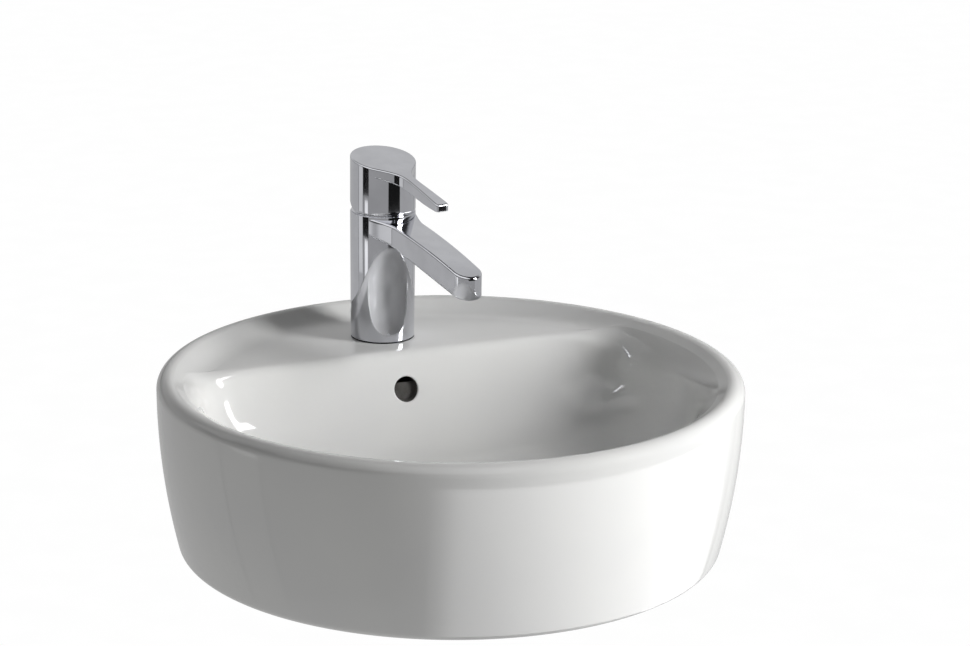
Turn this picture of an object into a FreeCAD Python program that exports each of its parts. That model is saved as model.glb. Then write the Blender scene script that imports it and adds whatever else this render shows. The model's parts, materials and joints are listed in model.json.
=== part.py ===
import FreeCAD, Part
import math
import os

# Round countertop basin with a rear tap deck, a single-lever mixer tap and a push waste.
# Millimetres, +Z up, origin at the centre of the foot, front of the basin towards -Y.

V = FreeCAD.Vector
UP = V(0, 0, 1)

# Basin, outside
rim_radius = 210.0
rim_height = 128.0
lip_radius = 8.5
foot_inset = 15.0
foot_rounding = 7.0
foot_ring = 12.0
wall = 10.0

# Cutting shapes run past the faces that they cut by this much
past_face = 1.0

# Basin, inside
deck_drop = 10.0
deck_thickness = 12.0
deck_front = 45.5
deck_edge_rounding = 8.0
rim_width = 34.0
rim_slope = 30.0
rim_blend = 4.0
rim_overrun = 3.0
bowl_roll = 15.0
brim_fall = 10.0
floor_radius = 84.0
floor_back = 32.0
floor_height = 38.0
floor_fall = 4.0
floor_thickness = 12.0
corner_power_top = 16.0
corner_power_floor = 5.0
deck_end_width = 6.6
deck_full_width = 15.0
lip_flat = 0.2
ledge_share = 0.3
surface_rays = 96

# Hollow underside
groove_drop = 40.0
groove_taper = 5.0
dish_inset = 55.2
pocket_half_width = 109.0
pocket_lean = 3.0
pocket_front_inset = 23.2
pocket_foot_inset = 40.6
pocket_taper_low = 2.0
pocket_taper_high = 12.0

# Drain, overflow and tap positions in the basin
drain_front = 49.0
drain_flat_radius = 40.0
drain_hole_radius = 23.0
drain_boss_radius = 35.0
drain_boss_height = 16.0
overflow_radius = 9.75
overflow_drop = 28.5
duct_width = 26.0
duct_depth = 8.0
duct_height = 8.0
duct_wall = 5.0
tap_inset = 74.5
tap_hole_radius = 17.5

# Waste with its push plug
pipe_radius = 20.95
pipe_bore_radius = 18.0
pipe_end_height = 1.5
tail_radius = 20.0
tail_length = 6.0
flange_radius = 32.0
flange_thickness = 2.5
flange_play = 0.6
seal_thickness = 1.0
nut_flats = 56.0
nut_thickness = 6.0
nut_gasket_radius = 30.0
nut_gasket_thickness = 2.5
overflow_slot_height = 8.0
overflow_slot_width = 16.0
plug_radius = 29.0
plug_edge = 2.4
plug_crown = 1.8
plug_travel = 8.0
plug_seat_gap = 0.3
plug_seal_inner = 20.0
plug_seal_outer = 27.0
guide_radius = 8.0
guide_length = 20.0
guide_drop = 4.0
spider_height = 6.0
spider_ring = 1.5
spider_rib = 4.0
spider_ribs = 3
stem_radius = 5.0
stem_length = 24.0
spring_wall = 1.6

# Fits
running_clearance = 0.05
seat_clearance = 0.1
free_clearance = 0.3

# Mixer body
tap_turn = 10.0
body_foot_radius = 24.0
body_top_radius = 24.5
body_height = 97.5
foot_gasket_thickness = 1.0
foot_gasket_width = 4.0
foot_recess_radius = 19.0
foot_recess_height = 26.0
chamber_depth = 35.5
inlet_radius = 4.5
inlet_bush_radius = 6.5
inlet_depth = 10.0
inlet_x = 8.5
inlet_y = -5.0
port_radius = 3.0

# Spout
spout_reach = 115.4
spout_tip_radius = 11.2
spout_root_inset = 0.4
spout_leave_angle = 8.0
spout_flank_pull = 0.25
spout_neck_half_width = 12.8
spout_neck_reach = 37.5
spout_root_drop = 0.2
spout_tip_drop = 22.9
spout_swell = 7.0
spout_root_depth = 11.5
spout_tip_depth = 17.6
spout_edge_rounding = 1.6
spout_channel_radius = 4.0
spout_channel_drop = 10.0
aerator_radius = 8.4
aerator_wall = 1.3
aerator_height = 10.0
aerator_drop = 0.8
aerator_seal_thickness = 1.5
aerator_holes = 8
aerator_hole_radius = 0.8
aerator_hole_circle = 4.4

# Fixing under the deck
stud_radius = 4.0
stud_y = 10.0
stud_grip = 14.0
stud_tail = 46.0
horseshoe_radius = 22.5
horseshoe_bridge = 2.0
horseshoe_gasket_thickness = 2.0
horseshoe_thickness = 3.0
stud_nut_flats = 13.0
stud_nut_thickness = 8.0

# Cartridge
cartridge_radius = 17.5
cartridge_flange = 4.0
cartridge_waist_radius = 15.0
cartridge_bore_radius = 13.0
cartridge_height = 30.0
cartridge_neck_height = 4.6
seal_cord = 1.2
disc_radius = 12.6
disc_thickness = 3.4
moving_disc_radius = 7.8
carrier_radius = 6.0
carrier_height = 17.0
sleeve_foot_height = 14.0
sleeve_top_height = 5.0
sleeve_slot_width = 13.0
sleeve_fork_gap = 1.5
outlet_margin = 1.0
stem_slot_width = 8.6
retaining_nut_height = 4.6

# Lever with its pivot
cap_gap = 1.5
cap_wall = 3.0
cap_rear_top = 46.8
cap_bend_top = 36.8
cap_bore_height = 28.0
cap_relief_angle = 27.0
cap_leave_angle = 44.0
collar_shell = 1.6
collar_flange = 1.1
collar_opening = 14.0
collar_play = 1.0
collar_step = 0.8
pin_radius = 2.0
lever_stem_radius = 4.0
lever_stem_socket = 7.5
stem_cheek = 4.4
ball_radius = 2.8
ball_neck_radius = 2.2
ball_drop = 11.5
ball_play = 0.7
arm_reach = 84.0
arm_tip_half_width = 5.3
arm_tip_flat = 2.0
arm_neck_half_width = 4.2
arm_neck_reach = 52.0
arm_flank_pull = 0.54
arm_root_under = 35.5
arm_bend_under = 17.2
arm_tip_under = 15.1
arm_tip_top = 20.2
arm_edge_rounding = 1.2
grub_radius = 2.5
grub_length = 12.0
grub_height = 32.0
cover_radius = 3.5

# Values that follow from those above
foot_radius = rim_radius - foot_inset
bowl_radius = rim_radius - rim_width
tap_y = rim_radius - tap_inset
deck_edge_y = tap_y - deck_front
bowl_side_run = bowl_radius - floor_radius
bowl_back_run = deck_edge_y - floor_back
drain_y = drain_front - floor_radius
deck_height = rim_height - deck_drop
widest_height = rim_height - lip_radius
crest_radius = rim_radius - lip_radius
rim_lean = math.radians(rim_slope)
rim_join_radius = crest_radius - lip_radius * math.sin(rim_lean)
rim_join_height = rim_height - lip_radius * (1 - math.cos(rim_lean))
rim_cone_radius = rim_join_radius - lip_flat
rim_foot_radius = rim_cone_radius - (rim_join_height - deck_height) / math.tan(rim_lean)
brim_height = deck_height - deck_edge_rounding
groove_top = brim_height - groove_drop
foot_inner = foot_radius - foot_ring
deck_under = deck_height - deck_thickness
floor_under = floor_height - floor_thickness
overflow_height = deck_height - overflow_drop
flange_under = floor_height - flange_thickness
recess_height = flange_under - seal_thickness
boss_under = drain_boss_height
nut_top = boss_under - nut_gasket_thickness
duct_floor = boss_under + duct_wall
plug_under = floor_height + plug_seat_gap + plug_travel + seal_thickness
guide_top = floor_height - guide_drop
chamber_floor = body_height - chamber_depth
pivot_height = body_height + cap_gap
cartridge_top = chamber_floor + cartridge_height
neck_top = cartridge_top + cartridge_neck_height
fixed_disc_height = chamber_floor + cartridge_flange
moving_disc_height = fixed_disc_height + disc_thickness + seat_clearance
cap_bore_top = pivot_height + cap_bore_height
cap_inner_radius = body_top_radius - cap_wall
collar_radius = cap_inner_radius - collar_play
spout_end = spout_reach + spout_tip_radius
past_spout = spout_end + past_face
spout_root_top = body_height - spout_root_drop
spout_tip_top = body_height - spout_tip_drop
spout_bend_top = (spout_root_top + spout_tip_top) / 2 + spout_swell
spout_root_under = spout_root_top - spout_root_depth
spout_tip_under = spout_tip_top - spout_tip_depth
spout_channel_height = body_height - spout_channel_drop
spout_root_radius = body_foot_radius - spout_root_inset
spout_start = spout_root_radius * math.sin(math.radians(spout_leave_angle))
spout_under_slope = (spout_root_under - spout_tip_under) / past_spout
outlet_under = spout_root_under - spout_reach * spout_under_slope
aerator_low = outlet_under - aerator_drop
horseshoe_slot = inlet_x + inlet_bush_radius
ball_height = pivot_height - ball_drop
screw_height = pivot_height + grub_height
screw_start = lever_stem_radius + running_clearance


def cylinder(radius, low, high, x=0.0, y=0.0):
    return Part.makeCylinder(radius, high - low, V(x, y, low), UP)


def ring(outer, inner, low, high, x=0.0, y=0.0):
    return cylinder(outer, low, high, x, y).cut(cylinder(inner, low - past_face, high + past_face, x, y))


def block(x0, x1, y0, y1, z0, z1):
    return Part.makeBox(x1 - x0, y1 - y0, z1 - z0, V(x0, y0, z0))


def prism_x(points, half):
    # Outline given as (y, z), extruded to both sides of the plane x = 0
    corners = [V(-half, y, z) for y, z in points]
    face = Part.Face(Part.makePolygon(corners + corners[:1]))
    return face.extrude(V(2 * half, 0, 0))


def bent_prism_x(poles, corners, half):
    # Outline given as (y, z): a bend drawn by its poles, then straight lines over the corners
    curve = Part.BezierCurve()
    curve.setPoles([V(-half, y, z) for y, z in poles])
    stops = [V(-half, y, z) for y, z in poles[-1:] + corners + poles[:1]]
    sides = [line(a, b) for a, b in zip(stops, stops[1:])]
    return Part.Face(Part.Wire([curve.toShape()] + sides)).extrude(V(2 * half, 0, 0))


def revolved(edges):
    # Closed outline in the plane y = 0, turned about +Z
    return Part.Face(Part.Wire(edges)).revolve(V(0, 0, 0), UP, 360)


def revolved_polygon(points):
    corners = [V(r, 0, z) for r, z in points]
    return revolved(Part.makePolygon(corners + corners[:1]).Edges)


def rod(radius, start, end):
    return Part.makeCylinder(radius, (end - start).Length, start, end - start)


def hexagon(flats, low, high, x=0.0, y=0.0):
    radius = flats / 2 / math.cos(math.pi / 6)
    turns = [math.pi / 3 * k for k in range(7)]
    corners = [V(x + radius * math.cos(t), y + radius * math.sin(t), low) for t in turns]
    return Part.Face(Part.makePolygon(corners)).extrude(V(0, 0, high - low))


def line(a, b):
    return Part.makeLine(a, b)


def arc(a, b, c):
    return Part.Arc(a, b, c).toShape()


def smooth(share):
    share = min(max(share, 0.0), 1.0)
    return share * share * (3 - 2 * share)


def mix(a, b, share):
    return a + (b - a) * share


def on_tap(shape):
    # From the mixer's own frame, with its foot at the origin, to its place on the deck
    shape.rotate(V(0, 0, 0), UP, tap_turn)
    shape.translate(V(0, tap_y, deck_height))
    return shape


# Basin

def wall_radius(height):
    # The outer wall is an arc that stands upright at its widest height
    rise = widest_height
    swell = rim_radius - foot_radius
    bend = (rise * rise + swell * swell) / (2 * swell)
    return rim_radius - bend + math.sqrt(bend * bend - (widest_height - height) ** 2)


def outer_solid():
    foot = V(foot_radius, 0, 0)
    middle = V(wall_radius(widest_height / 2), 0, widest_height / 2)
    widest = V(rim_radius, 0, widest_height)
    crest = V(crest_radius, 0, rim_height)
    join = V(rim_join_radius, 0, rim_join_height)
    top = V(0, 0, rim_join_height)
    solid = revolved([
        line(V(0, 0, 0), foot),
        arc(foot, middle, widest),
        arc(widest, crest, join),
        line(join, top),
        line(top, V(0, 0, 0)),
    ])
    foot_edge = max((e for e in solid.Edges if e.isClosed()), key=lambda e: -e.CenterOfMass.z)
    return solid.makeFillet(foot_rounding, [foot_edge])


def circle_reach(turn, radius):
    # Distance from the drain to a circle about the basin's centre
    return math.sqrt(radius ** 2 - (drain_y * math.cos(turn)) ** 2) - drain_y * math.sin(turn)


def bowl_reach(turn, radius, chord_y, power):
    # Distance from the drain to a circle that a straight chord cuts off, with a soft corner
    around = circle_reach(turn, radius)
    if math.sin(turn) <= 0:
        return around
    across = (chord_y - drain_y) / math.sin(turn)
    return (around ** -power + across ** -power) ** (-1 / power)


def ledge_height(turn, distance):
    # Behind the bowl lies the higher of the level deck and the rim's cone, joined by a parabola
    radius = math.hypot(distance * math.cos(turn), drain_y + distance * math.sin(turn))
    cone = rim_join_height + (radius - rim_cone_radius) * math.tan(rim_lean)
    near = max(rim_blend - abs(cone - deck_height), 0.0)
    return max(cone, deck_height) + near * near / (4 * rim_blend)


def bowl_section(turn):
    # Rows of (distance from the drain, height) from the drain over the deck and up the rim's cone
    brim = bowl_reach(turn, bowl_radius, deck_edge_y, corner_power_top)
    foot = circle_reach(turn, rim_foot_radius)
    crest = circle_reach(turn, rim_cone_radius)
    open_deck = smooth((foot - brim - deck_end_width) / (deck_full_width - deck_end_width))
    brim_low = brim_height - brim_fall * (1 - open_deck)
    floor_edge = floor_height + floor_fall
    rows = []
    for angle in (90, 72, 54, 36, 18, 0):
        run = 1 - math.cos(math.radians(angle))
        power = mix(corner_power_top, corner_power_floor, run)
        radius = bowl_radius - bowl_side_run * run
        chord_y = deck_edge_y - bowl_back_run * run
        height = mix(brim_low, floor_edge, math.sin(math.radians(angle)))
        rows.append((bowl_reach(turn, radius, chord_y, power), height))
    floor_rows = []
    for share in (0.0, 0.33, 0.66):
        distance = mix(drain_flat_radius, rows[0][0], share)
        floor_rows.append((distance, floor_height + floor_fall * share ** 2))
    roll = mix(bowl_roll, deck_edge_rounding, open_deck)
    tilt = math.tan(rim_lean) * (1 - open_deck)
    inner = brim + roll
    rise = ledge_height(turn, inner) - brim_low - tilt * roll
    for angle in (30, 60, 90):
        run = roll * (1 - math.cos(math.radians(angle)))
        rows.append((brim + run, brim_low + rise * math.sin(math.radians(angle)) + tilt * run))
    level = circle_reach(turn, rim_foot_radius - rim_blend / math.tan(rim_lean))
    back = mix(mix(inner, crest, ledge_share), level, open_deck)
    outward = [mix(inner, back, share) for share in (0.35, 0.7, 0.9)]
    outward += [mix(back, crest, share) for share in (0.0, 0.25, 0.5, 0.75, 1.0)]
    outward += [circle_reach(turn, rim_cone_radius + past) for past in (rim_overrun, 2 * rim_overrun)]
    rows += [(distance, ledge_height(turn, distance)) for distance in outward]
    return floor_rows + rows


def bowl_surface():
    turns = [2 * math.pi * k / surface_rays for k in range(surface_rays)]
    sections = [bowl_section(t) for t in turns]
    rows = len(sections[0])
    poles = []
    for i in range(rows):
        row = []
        for turn, section in zip(turns, sections):
            distance, height = section[i]
            row.append(V(distance * math.cos(turn), drain_y + distance * math.sin(turn), height))
        poles.append(row)
    degree = 3
    spans = rows - degree
    surface = Part.BSplineSurface()
    surface.buildFromPolesMultsKnots(
        poles,
        [degree + 1] + [1] * (spans - 1) + [degree + 1],
        [1] * (surface_rays + 1),
        list(range(spans + 1)),
        list(range(surface_rays + 1)),
        False, True, degree, degree,
    )
    return surface.toShape()


def bowl_space():
    # The space inside the basin: the bowl surface, closed below at the drain and above the rim
    face = bowl_surface()
    by_size = sorted((e for e in face.Edges if e.isClosed()), key=lambda e: e.BoundBox.XLength)
    drain, rim = by_size[0], by_size[-1]
    side = rim.extrude(V(0, 0, lip_radius))
    top = max((e for e in side.Edges if e.isClosed()), key=lambda e: e.BoundBox.ZMax)
    shell = Part.makeShell([face, side, Part.Face(Part.Wire([drain])), Part.Face(Part.Wire([top]))])
    shell.sewShape()
    solid = Part.makeSolid(shell)
    if solid.Volume < 0:
        solid.reverse()
    return solid


def groove_radius():
    return wall_radius(groove_top) - wall - groove_taper


def under_space():
    # Hollow underside: a shallow dish, a groove inside the side wall and a pocket below the deck
    halfway = deck_under / 2
    dish = revolved_polygon([
        (0, -past_face),
        (foot_inner, -past_face),
        (foot_inner, 0),
        (groove_radius(), groove_top),
        (bowl_radius, groove_top),
        (bowl_radius - dish_inset, floor_under),
        (0, floor_under),
    ])
    pocket = prism_x([
        (deck_edge_y + wall, deck_under),
        (deck_edge_y + pocket_lean, groove_top),
        (deck_edge_y - pocket_front_inset, floor_under + floor_fall + wall),
        (deck_edge_y - pocket_foot_inset, floor_under),
        (deck_edge_y - pocket_foot_inset, -past_face),
        (rim_radius, -past_face),
        (rim_radius, deck_under),
    ], pocket_half_width)
    inside = revolved_polygon([
        (0, -past_face),
        (foot_inner, -past_face),
        (foot_inner, 0),
        (wall_radius(halfway) - wall - pocket_taper_low, halfway),
        (wall_radius(deck_under) - wall - pocket_taper_high, deck_under),
        (0, deck_under),
    ])
    return dish.fuse(pocket.common(inside))


def basin_solid():
    solid = outer_solid().cut(bowl_space()).cut(under_space())
    half = duct_width / 2
    duct_back = deck_edge_y + wall + duct_depth
    boss = cylinder(drain_boss_radius, boss_under, floor_height - seal_thickness, 0, drain_y)
    rib = prism_x([
        (drain_y, boss_under),
        (duct_back + duct_wall, boss_under),
        (duct_back + duct_wall, deck_under + duct_wall),
        (deck_edge_y + wall - duct_wall, deck_under + duct_wall),
        (deck_edge_y + pocket_lean - duct_wall, groove_top),
        (deck_edge_y - pocket_front_inset, floor_under + wall),
        (drain_y, floor_under + duct_wall),
    ], half + duct_wall)
    duct = prism_x([
        (drain_y, duct_floor),
        (duct_back, duct_floor),
        (duct_back, deck_under - duct_wall),
        (deck_edge_y + wall, deck_under - duct_wall),
        (deck_edge_y + wall, duct_floor + duct_height),
        (drain_y, duct_floor + duct_height),
    ], half)
    in_duct = V(0, deck_edge_y + wall + duct_depth / 2, overflow_height)
    in_bowl = V(0, deck_edge_y - bowl_back_run, overflow_height)
    overflow = rod(overflow_radius, in_duct, in_bowl)
    recess = cylinder(flange_radius + flange_play, recess_height, floor_height + past_face, 0, drain_y)
    drain = cylinder(drain_hole_radius, -past_face, floor_height + past_face, 0, drain_y)
    tap_hole = cylinder(tap_hole_radius, deck_under - past_face, deck_height + past_face, 0, tap_y)
    solid = solid.fuse([boss, rib])
    return solid.cut([duct, overflow, recess, drain, tap_hole]).removeSplitter()


def basin_parts():
    # The basin is one fired piece. It is divided where its forms meet: the skirt with the lip,
    # the bowl with its overflow duct inside it, and the tap deck behind the duct.
    whole = basin_solid()
    over = rim_height + past_face
    core = revolved_polygon([
        (0, -past_face),
        (foot_inner, -past_face),
        (foot_inner, 0),
        (groove_radius(), groove_top),
        (groove_radius(), over),
        (0, over),
    ])
    wide = 2 * rim_radius
    behind = block(-wide, wide, deck_edge_y + wall + duct_depth, wide, -wide, wide)
    inner = whole.common(core)
    return {
        "basin_skirt": whole.cut(core),
        "basin_bowl": inner.cut(behind),
        "basin_deck": inner.common(behind),
    }


# Waste

def at_drain(shape):
    shape.translate(V(0, drain_y, 0))
    return shape


def make_waste_body():
    tail = cylinder(tail_radius, pipe_end_height, flange_under)
    thread = cylinder(pipe_radius, pipe_end_height + tail_length, flange_under)
    flange = cylinder(flange_radius, flange_under, floor_height)
    body = tail.fuse([thread, flange]).cut(cylinder(pipe_bore_radius, 0, floor_height + past_face))
    half = overflow_slot_width / 2
    slot_top = duct_floor + overflow_slot_height
    slot = block(-half, half, -flange_radius, flange_radius, duct_floor, slot_top)
    return at_drain(body.cut(slot))


def make_waste_flange_seal():
    outer = flange_radius - flange_play
    inner = drain_hole_radius + flange_play
    return at_drain(ring(outer, inner, recess_height, flange_under))


def make_waste_gasket():
    return at_drain(ring(nut_gasket_radius, pipe_radius + seat_clearance, nut_top, boss_under))


def make_waste_back_nut():
    nut = hexagon(nut_flats, nut_top - nut_thickness, nut_top)
    return at_drain(nut.cut(cylinder(pipe_radius + seat_clearance, 0, boss_under)))


def make_click_body():
    guide = cylinder(guide_radius, guide_top - guide_length, guide_top)
    low = guide_top - spider_height
    high = guide_top - seal_thickness
    outer = pipe_bore_radius - running_clearance
    rim = ring(outer, outer - spider_ring, low, high)
    ribs = []
    for k in range(spider_ribs):
        rib = block(0, outer - spider_ring / 2, -spider_rib / 2, spider_rib / 2, low, high)
        rib.rotate(V(0, 0, 0), UP, 360 / spider_ribs * k + 90)
        ribs.append(rib)
    body = guide.fuse([rim] + ribs)
    return at_drain(body.cut(cylinder(stem_radius + running_clearance, 0, floor_height)).removeSplitter())


def make_plug_stem():
    return at_drain(cylinder(stem_radius, plug_under - stem_length, plug_under))


def make_plug_seal():
    return at_drain(ring(plug_seal_outer, plug_seal_inner, plug_under - seal_thickness, plug_under))


def make_plug_cap():
    edge_top = plug_under + plug_edge
    centre_top = edge_top + plug_crown
    bend = (plug_radius ** 2 + plug_crown ** 2) / (2 * plug_crown)
    halfway = V(plug_radius / 2, 0, centre_top - bend + math.sqrt(bend ** 2 - (plug_radius / 2) ** 2))
    low = V(0, 0, plug_under)
    outer = V(plug_radius, 0, plug_under)
    shoulder = V(plug_radius, 0, edge_top)
    crown = V(0, 0, centre_top)
    return at_drain(revolved([
        line(low, outer),
        line(outer, shoulder),
        arc(shoulder, halfway, crown),
        line(crown, low),
    ]))


def make_click_spring():
    inner = stem_radius + free_clearance
    return at_drain(ring(inner + spring_wall, inner, guide_top, plug_under - free_clearance))


# Mixer body and spout

def teardrop(root_radius, leave_angle, flank_pull, neck_half, neck_reach, tip_radius, reach_end, low, high):
    # Seen from above: the body's circle, drawn in to a neck, then straight to a rounded tip
    turn = math.radians(leave_angle)
    root_x, root_y = root_radius * math.cos(turn), -root_radius * math.sin(turn)
    tip_y = tip_radius - reach_end
    lean = math.asin((neck_half - tip_radius) / (-tip_y - neck_reach))
    neck_y = -neck_reach - neck_half * math.sin(lean)
    pull = flank_pull * (root_y - neck_y)
    flanks = {}
    for side in (1, -1):
        root = V(side * root_x, root_y, low)
        neck = V(side * neck_half * math.cos(lean), neck_y, low)
        tip = V(side * tip_radius * math.cos(lean), tip_y - tip_radius * math.sin(lean), low)
        leave = V(root.x - side * pull * math.sin(turn), root.y - pull * math.cos(turn), low)
        along = (tip - neck).normalize()
        curve = Part.BezierCurve()
        curve.setPoles([root, leave, neck - along * pull, neck])
        flanks[side] = (root, curve.toShape(), line(neck, tip), tip)
    right, left = flanks[1], flanks[-1]
    outline = [
        right[1],
        right[2],
        arc(right[3], V(0, -reach_end, low), left[3]),
        left[2],
        left[1],
        arc(left[0], V(0, root_radius, low), right[0]),
    ]
    return Part.Face(Part.Wire(outline)).extrude(V(0, 0, high - low))


def spout_solid():
    # Its root lies inside the body, so only the part in front of the root line is kept
    wide = 2 * body_foot_radius
    side = bent_prism_x([
        (0, spout_root_top),
        (-past_spout / 2, spout_bend_top),
        (-past_spout, spout_tip_top),
    ], [
        (-past_spout, spout_tip_under),
        (0, spout_root_under),
    ], wide)
    neck = (spout_leave_angle, spout_flank_pull, spout_neck_half_width, spout_neck_reach)
    plan = teardrop(spout_root_radius, *neck, spout_tip_radius, spout_end, 0, 2 * body_height)
    solid = plan.common(side)
    by_height = sorted(solid.Faces, key=lambda face: face.CenterOfMass.z)
    solid = solid.makeFillet(spout_edge_rounding, by_height[0].Edges + by_height[-1].Edges)
    return solid.cut(block(-wide, wide, -spout_start, wide, 0, 2 * body_height))


def make_tap_body():
    foot = foot_gasket_thickness
    recess_top = foot_recess_height
    body = Part.makeCone(body_foot_radius, body_top_radius, body_height - foot, V(0, 0, foot), UP)
    body = body.fuse(spout_solid())
    chamber = cylinder(cartridge_radius + seat_clearance, chamber_floor, body_height + past_face)
    cuts = [chamber, cylinder(foot_recess_radius, 0, recess_top)]
    for side in (-1, 1):
        x = side * inlet_x
        seat = inlet_bush_radius + seat_clearance
        cuts.append(cylinder(seat, recess_top - past_face, recess_top + inlet_depth, x, inlet_y))
        cuts.append(cylinder(port_radius, recess_top, chamber_floor + past_face, x, inlet_y))
    stud_hole = stud_radius + seat_clearance
    cuts.append(cylinder(stud_hole, recess_top - past_face, recess_top + stud_grip, 0, stud_y))
    bore_top = aerator_low + aerator_height + aerator_seal_thickness
    cuts.append(cylinder(aerator_radius + seat_clearance, 0, bore_top, 0, -spout_reach))
    start = V(0, -cartridge_waist_radius, spout_channel_height)
    end = V(0, -spout_reach, bore_top - spout_channel_radius / 2)
    cuts.append(rod(spout_channel_radius, start, end))
    return on_tap(body.cut(cuts).removeSplitter())


def make_inlet_bush(side):
    low, high = foot_recess_height, foot_recess_height + inlet_depth
    return on_tap(ring(inlet_bush_radius, inlet_radius, low, high, side * inlet_x, inlet_y))


def make_base_gasket():
    outer = body_foot_radius - 2 * seat_clearance
    return on_tap(ring(outer, outer - foot_gasket_width, 0, foot_gasket_thickness))


def make_aerator_housing():
    inner = aerator_radius - aerator_wall
    high = aerator_low + aerator_height
    return on_tap(ring(aerator_radius, inner, aerator_low, high, 0, -spout_reach))


def make_aerator_insert():
    low = outlet_under
    high = low + aerator_height - 2 * aerator_wall
    body = cylinder(aerator_radius - aerator_wall, low, high, 0, -spout_reach)
    holes = []
    for k in range(aerator_holes):
        turn = 2 * math.pi * k / aerator_holes
        x = aerator_hole_circle * math.cos(turn)
        y = aerator_hole_circle * math.sin(turn) - spout_reach
        holes.append(cylinder(aerator_hole_radius, low - past_face, high + past_face, x, y))
    return on_tap(body.cut(holes))


def make_aerator_seal():
    inner = aerator_radius - 2 * aerator_wall
    low = aerator_low + aerator_height
    return on_tap(ring(aerator_radius, inner, low, low + aerator_seal_thickness, 0, -spout_reach))


# Fixing under the deck

def make_fixing_stud():
    low = -deck_thickness - stud_tail
    return on_tap(cylinder(stud_radius, low, foot_recess_height + stud_grip, 0, stud_y))


def horseshoe(low, high):
    plate = cylinder(horseshoe_radius, low, high)
    under, over = low - past_face, high + past_face
    slot_y = stud_y - stud_radius - horseshoe_bridge - horseshoe_slot
    slot = cylinder(horseshoe_slot, under, over, 0, slot_y)
    mouth = block(-horseshoe_slot, horseshoe_slot, -2 * horseshoe_radius, slot_y, under, over)
    hole = cylinder(stud_radius + seat_clearance, under, over, 0, stud_y)
    return on_tap(plate.cut([slot, mouth, hole]))


def make_horseshoe_gasket():
    return horseshoe(-deck_thickness - horseshoe_gasket_thickness, -deck_thickness)


def make_horseshoe_washer():
    high = -deck_thickness - horseshoe_gasket_thickness
    return horseshoe(high - horseshoe_thickness, high)


def make_fixing_nut():
    high = -deck_thickness - horseshoe_gasket_thickness - horseshoe_thickness
    low = high - stud_nut_thickness
    nut = hexagon(stud_nut_flats, low, high, 0, stud_y)
    hole = cylinder(stud_radius + seat_clearance, low - past_face, high + past_face, 0, stud_y)
    return on_tap(nut.cut(hole))


# Cartridge

def make_cartridge_housing():
    low = chamber_floor
    waist_low = low + cartridge_flange
    waist_high = cartridge_top - cartridge_flange
    body = cylinder(cartridge_radius, low, cartridge_top)
    body = body.cut(ring(2 * cartridge_radius, cartridge_waist_radius, waist_low, waist_high))
    body = body.fuse(cylinder(cartridge_waist_radius, low, neck_top))
    cuts = [cylinder(cartridge_bore_radius, waist_low, neck_top + past_face)]
    for side in (-1, 1):
        x = side * inlet_x
        cuts.append(cylinder(port_radius, low - past_face, waist_low + past_face, x, inlet_y))
        cuts.append(cylinder(port_radius + seal_cord, low - past_face, low + seal_cord, x, inlet_y))
    window_low = fixed_disc_height + disc_thickness + outlet_margin
    window_high = waist_high - outlet_margin
    cuts.append(block(-port_radius, port_radius, -2 * cartridge_radius, 0, window_low, window_high))
    return on_tap(body.cut(cuts).removeSplitter())


def make_cartridge_seal(side):
    outer = port_radius + seal_cord - seat_clearance
    high = chamber_floor + seal_cord
    return on_tap(ring(outer, port_radius, chamber_floor, high, side * inlet_x, inlet_y))


def make_fixed_disc():
    disc = cylinder(disc_radius, fixed_disc_height, fixed_disc_height + disc_thickness)
    cuts = [cylinder(port_radius, 0, body_height, side * inlet_x, inlet_y) for side in (-1, 1)]
    return on_tap(disc.cut(cuts))


def make_moving_disc():
    low = moving_disc_height
    disc = cylinder(moving_disc_radius, low, low + disc_thickness)
    carrier = cylinder(carrier_radius, low, low + disc_thickness + carrier_height)
    pocket = cylinder(ball_radius + ball_play, ball_height - 2 * ball_radius, body_height)
    return on_tap(disc.fuse(carrier).cut(pocket).removeSplitter())


def make_turning_sleeve():
    low = neck_top - sleeve_foot_height
    high = pivot_height + sleeve_top_height
    outer = cartridge_bore_radius - running_clearance
    half = sleeve_slot_width / 2
    cheek = stem_slot_width / 2
    fork = ball_height + 2 * ball_radius + sleeve_fork_gap
    far = 2 * outer
    lower_slot = block(-half, half, -far, carrier_radius + free_clearance, low - past_face, fork)
    upper_slot = block(-cheek, cheek, -far, far, fork - past_face, high + past_face)
    pin_hole = rod(pin_radius + running_clearance, V(-far, 0, pivot_height), V(far, 0, pivot_height))
    return on_tap(cylinder(outer, low, high).cut([lower_slot, upper_slot, pin_hole]))


def make_pivot_pin():
    half = cartridge_bore_radius - 2 * free_clearance
    return on_tap(rod(pin_radius, V(-half, 0, pivot_height), V(half, 0, pivot_height)))


def make_retaining_nut():
    inner = cartridge_waist_radius + seat_clearance
    high = cartridge_top + retaining_nut_height
    return on_tap(ring(cartridge_radius, inner, cartridge_top, high))


def make_dome_collar():
    low = body_height
    centre = V(0, 0, pivot_height)
    ball = Part.makeSphere(collar_radius, centre).cut(Part.makeSphere(collar_radius - collar_shell, centre))
    zone = ball.common(cylinder(2 * collar_radius, low, pivot_height + collar_radius))
    zone = zone.cut(cylinder(collar_opening, pivot_height, pivot_height + 2 * collar_radius))
    outer = body_top_radius - collar_step
    flange = ring(outer, collar_radius - collar_shell, low, low + collar_flange)
    inner = cylinder(cartridge_waist_radius + seat_clearance, low - past_face, low + past_face)
    return on_tap(zone.fuse(flange).cut(inner).removeSplitter())


# Lever

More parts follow.
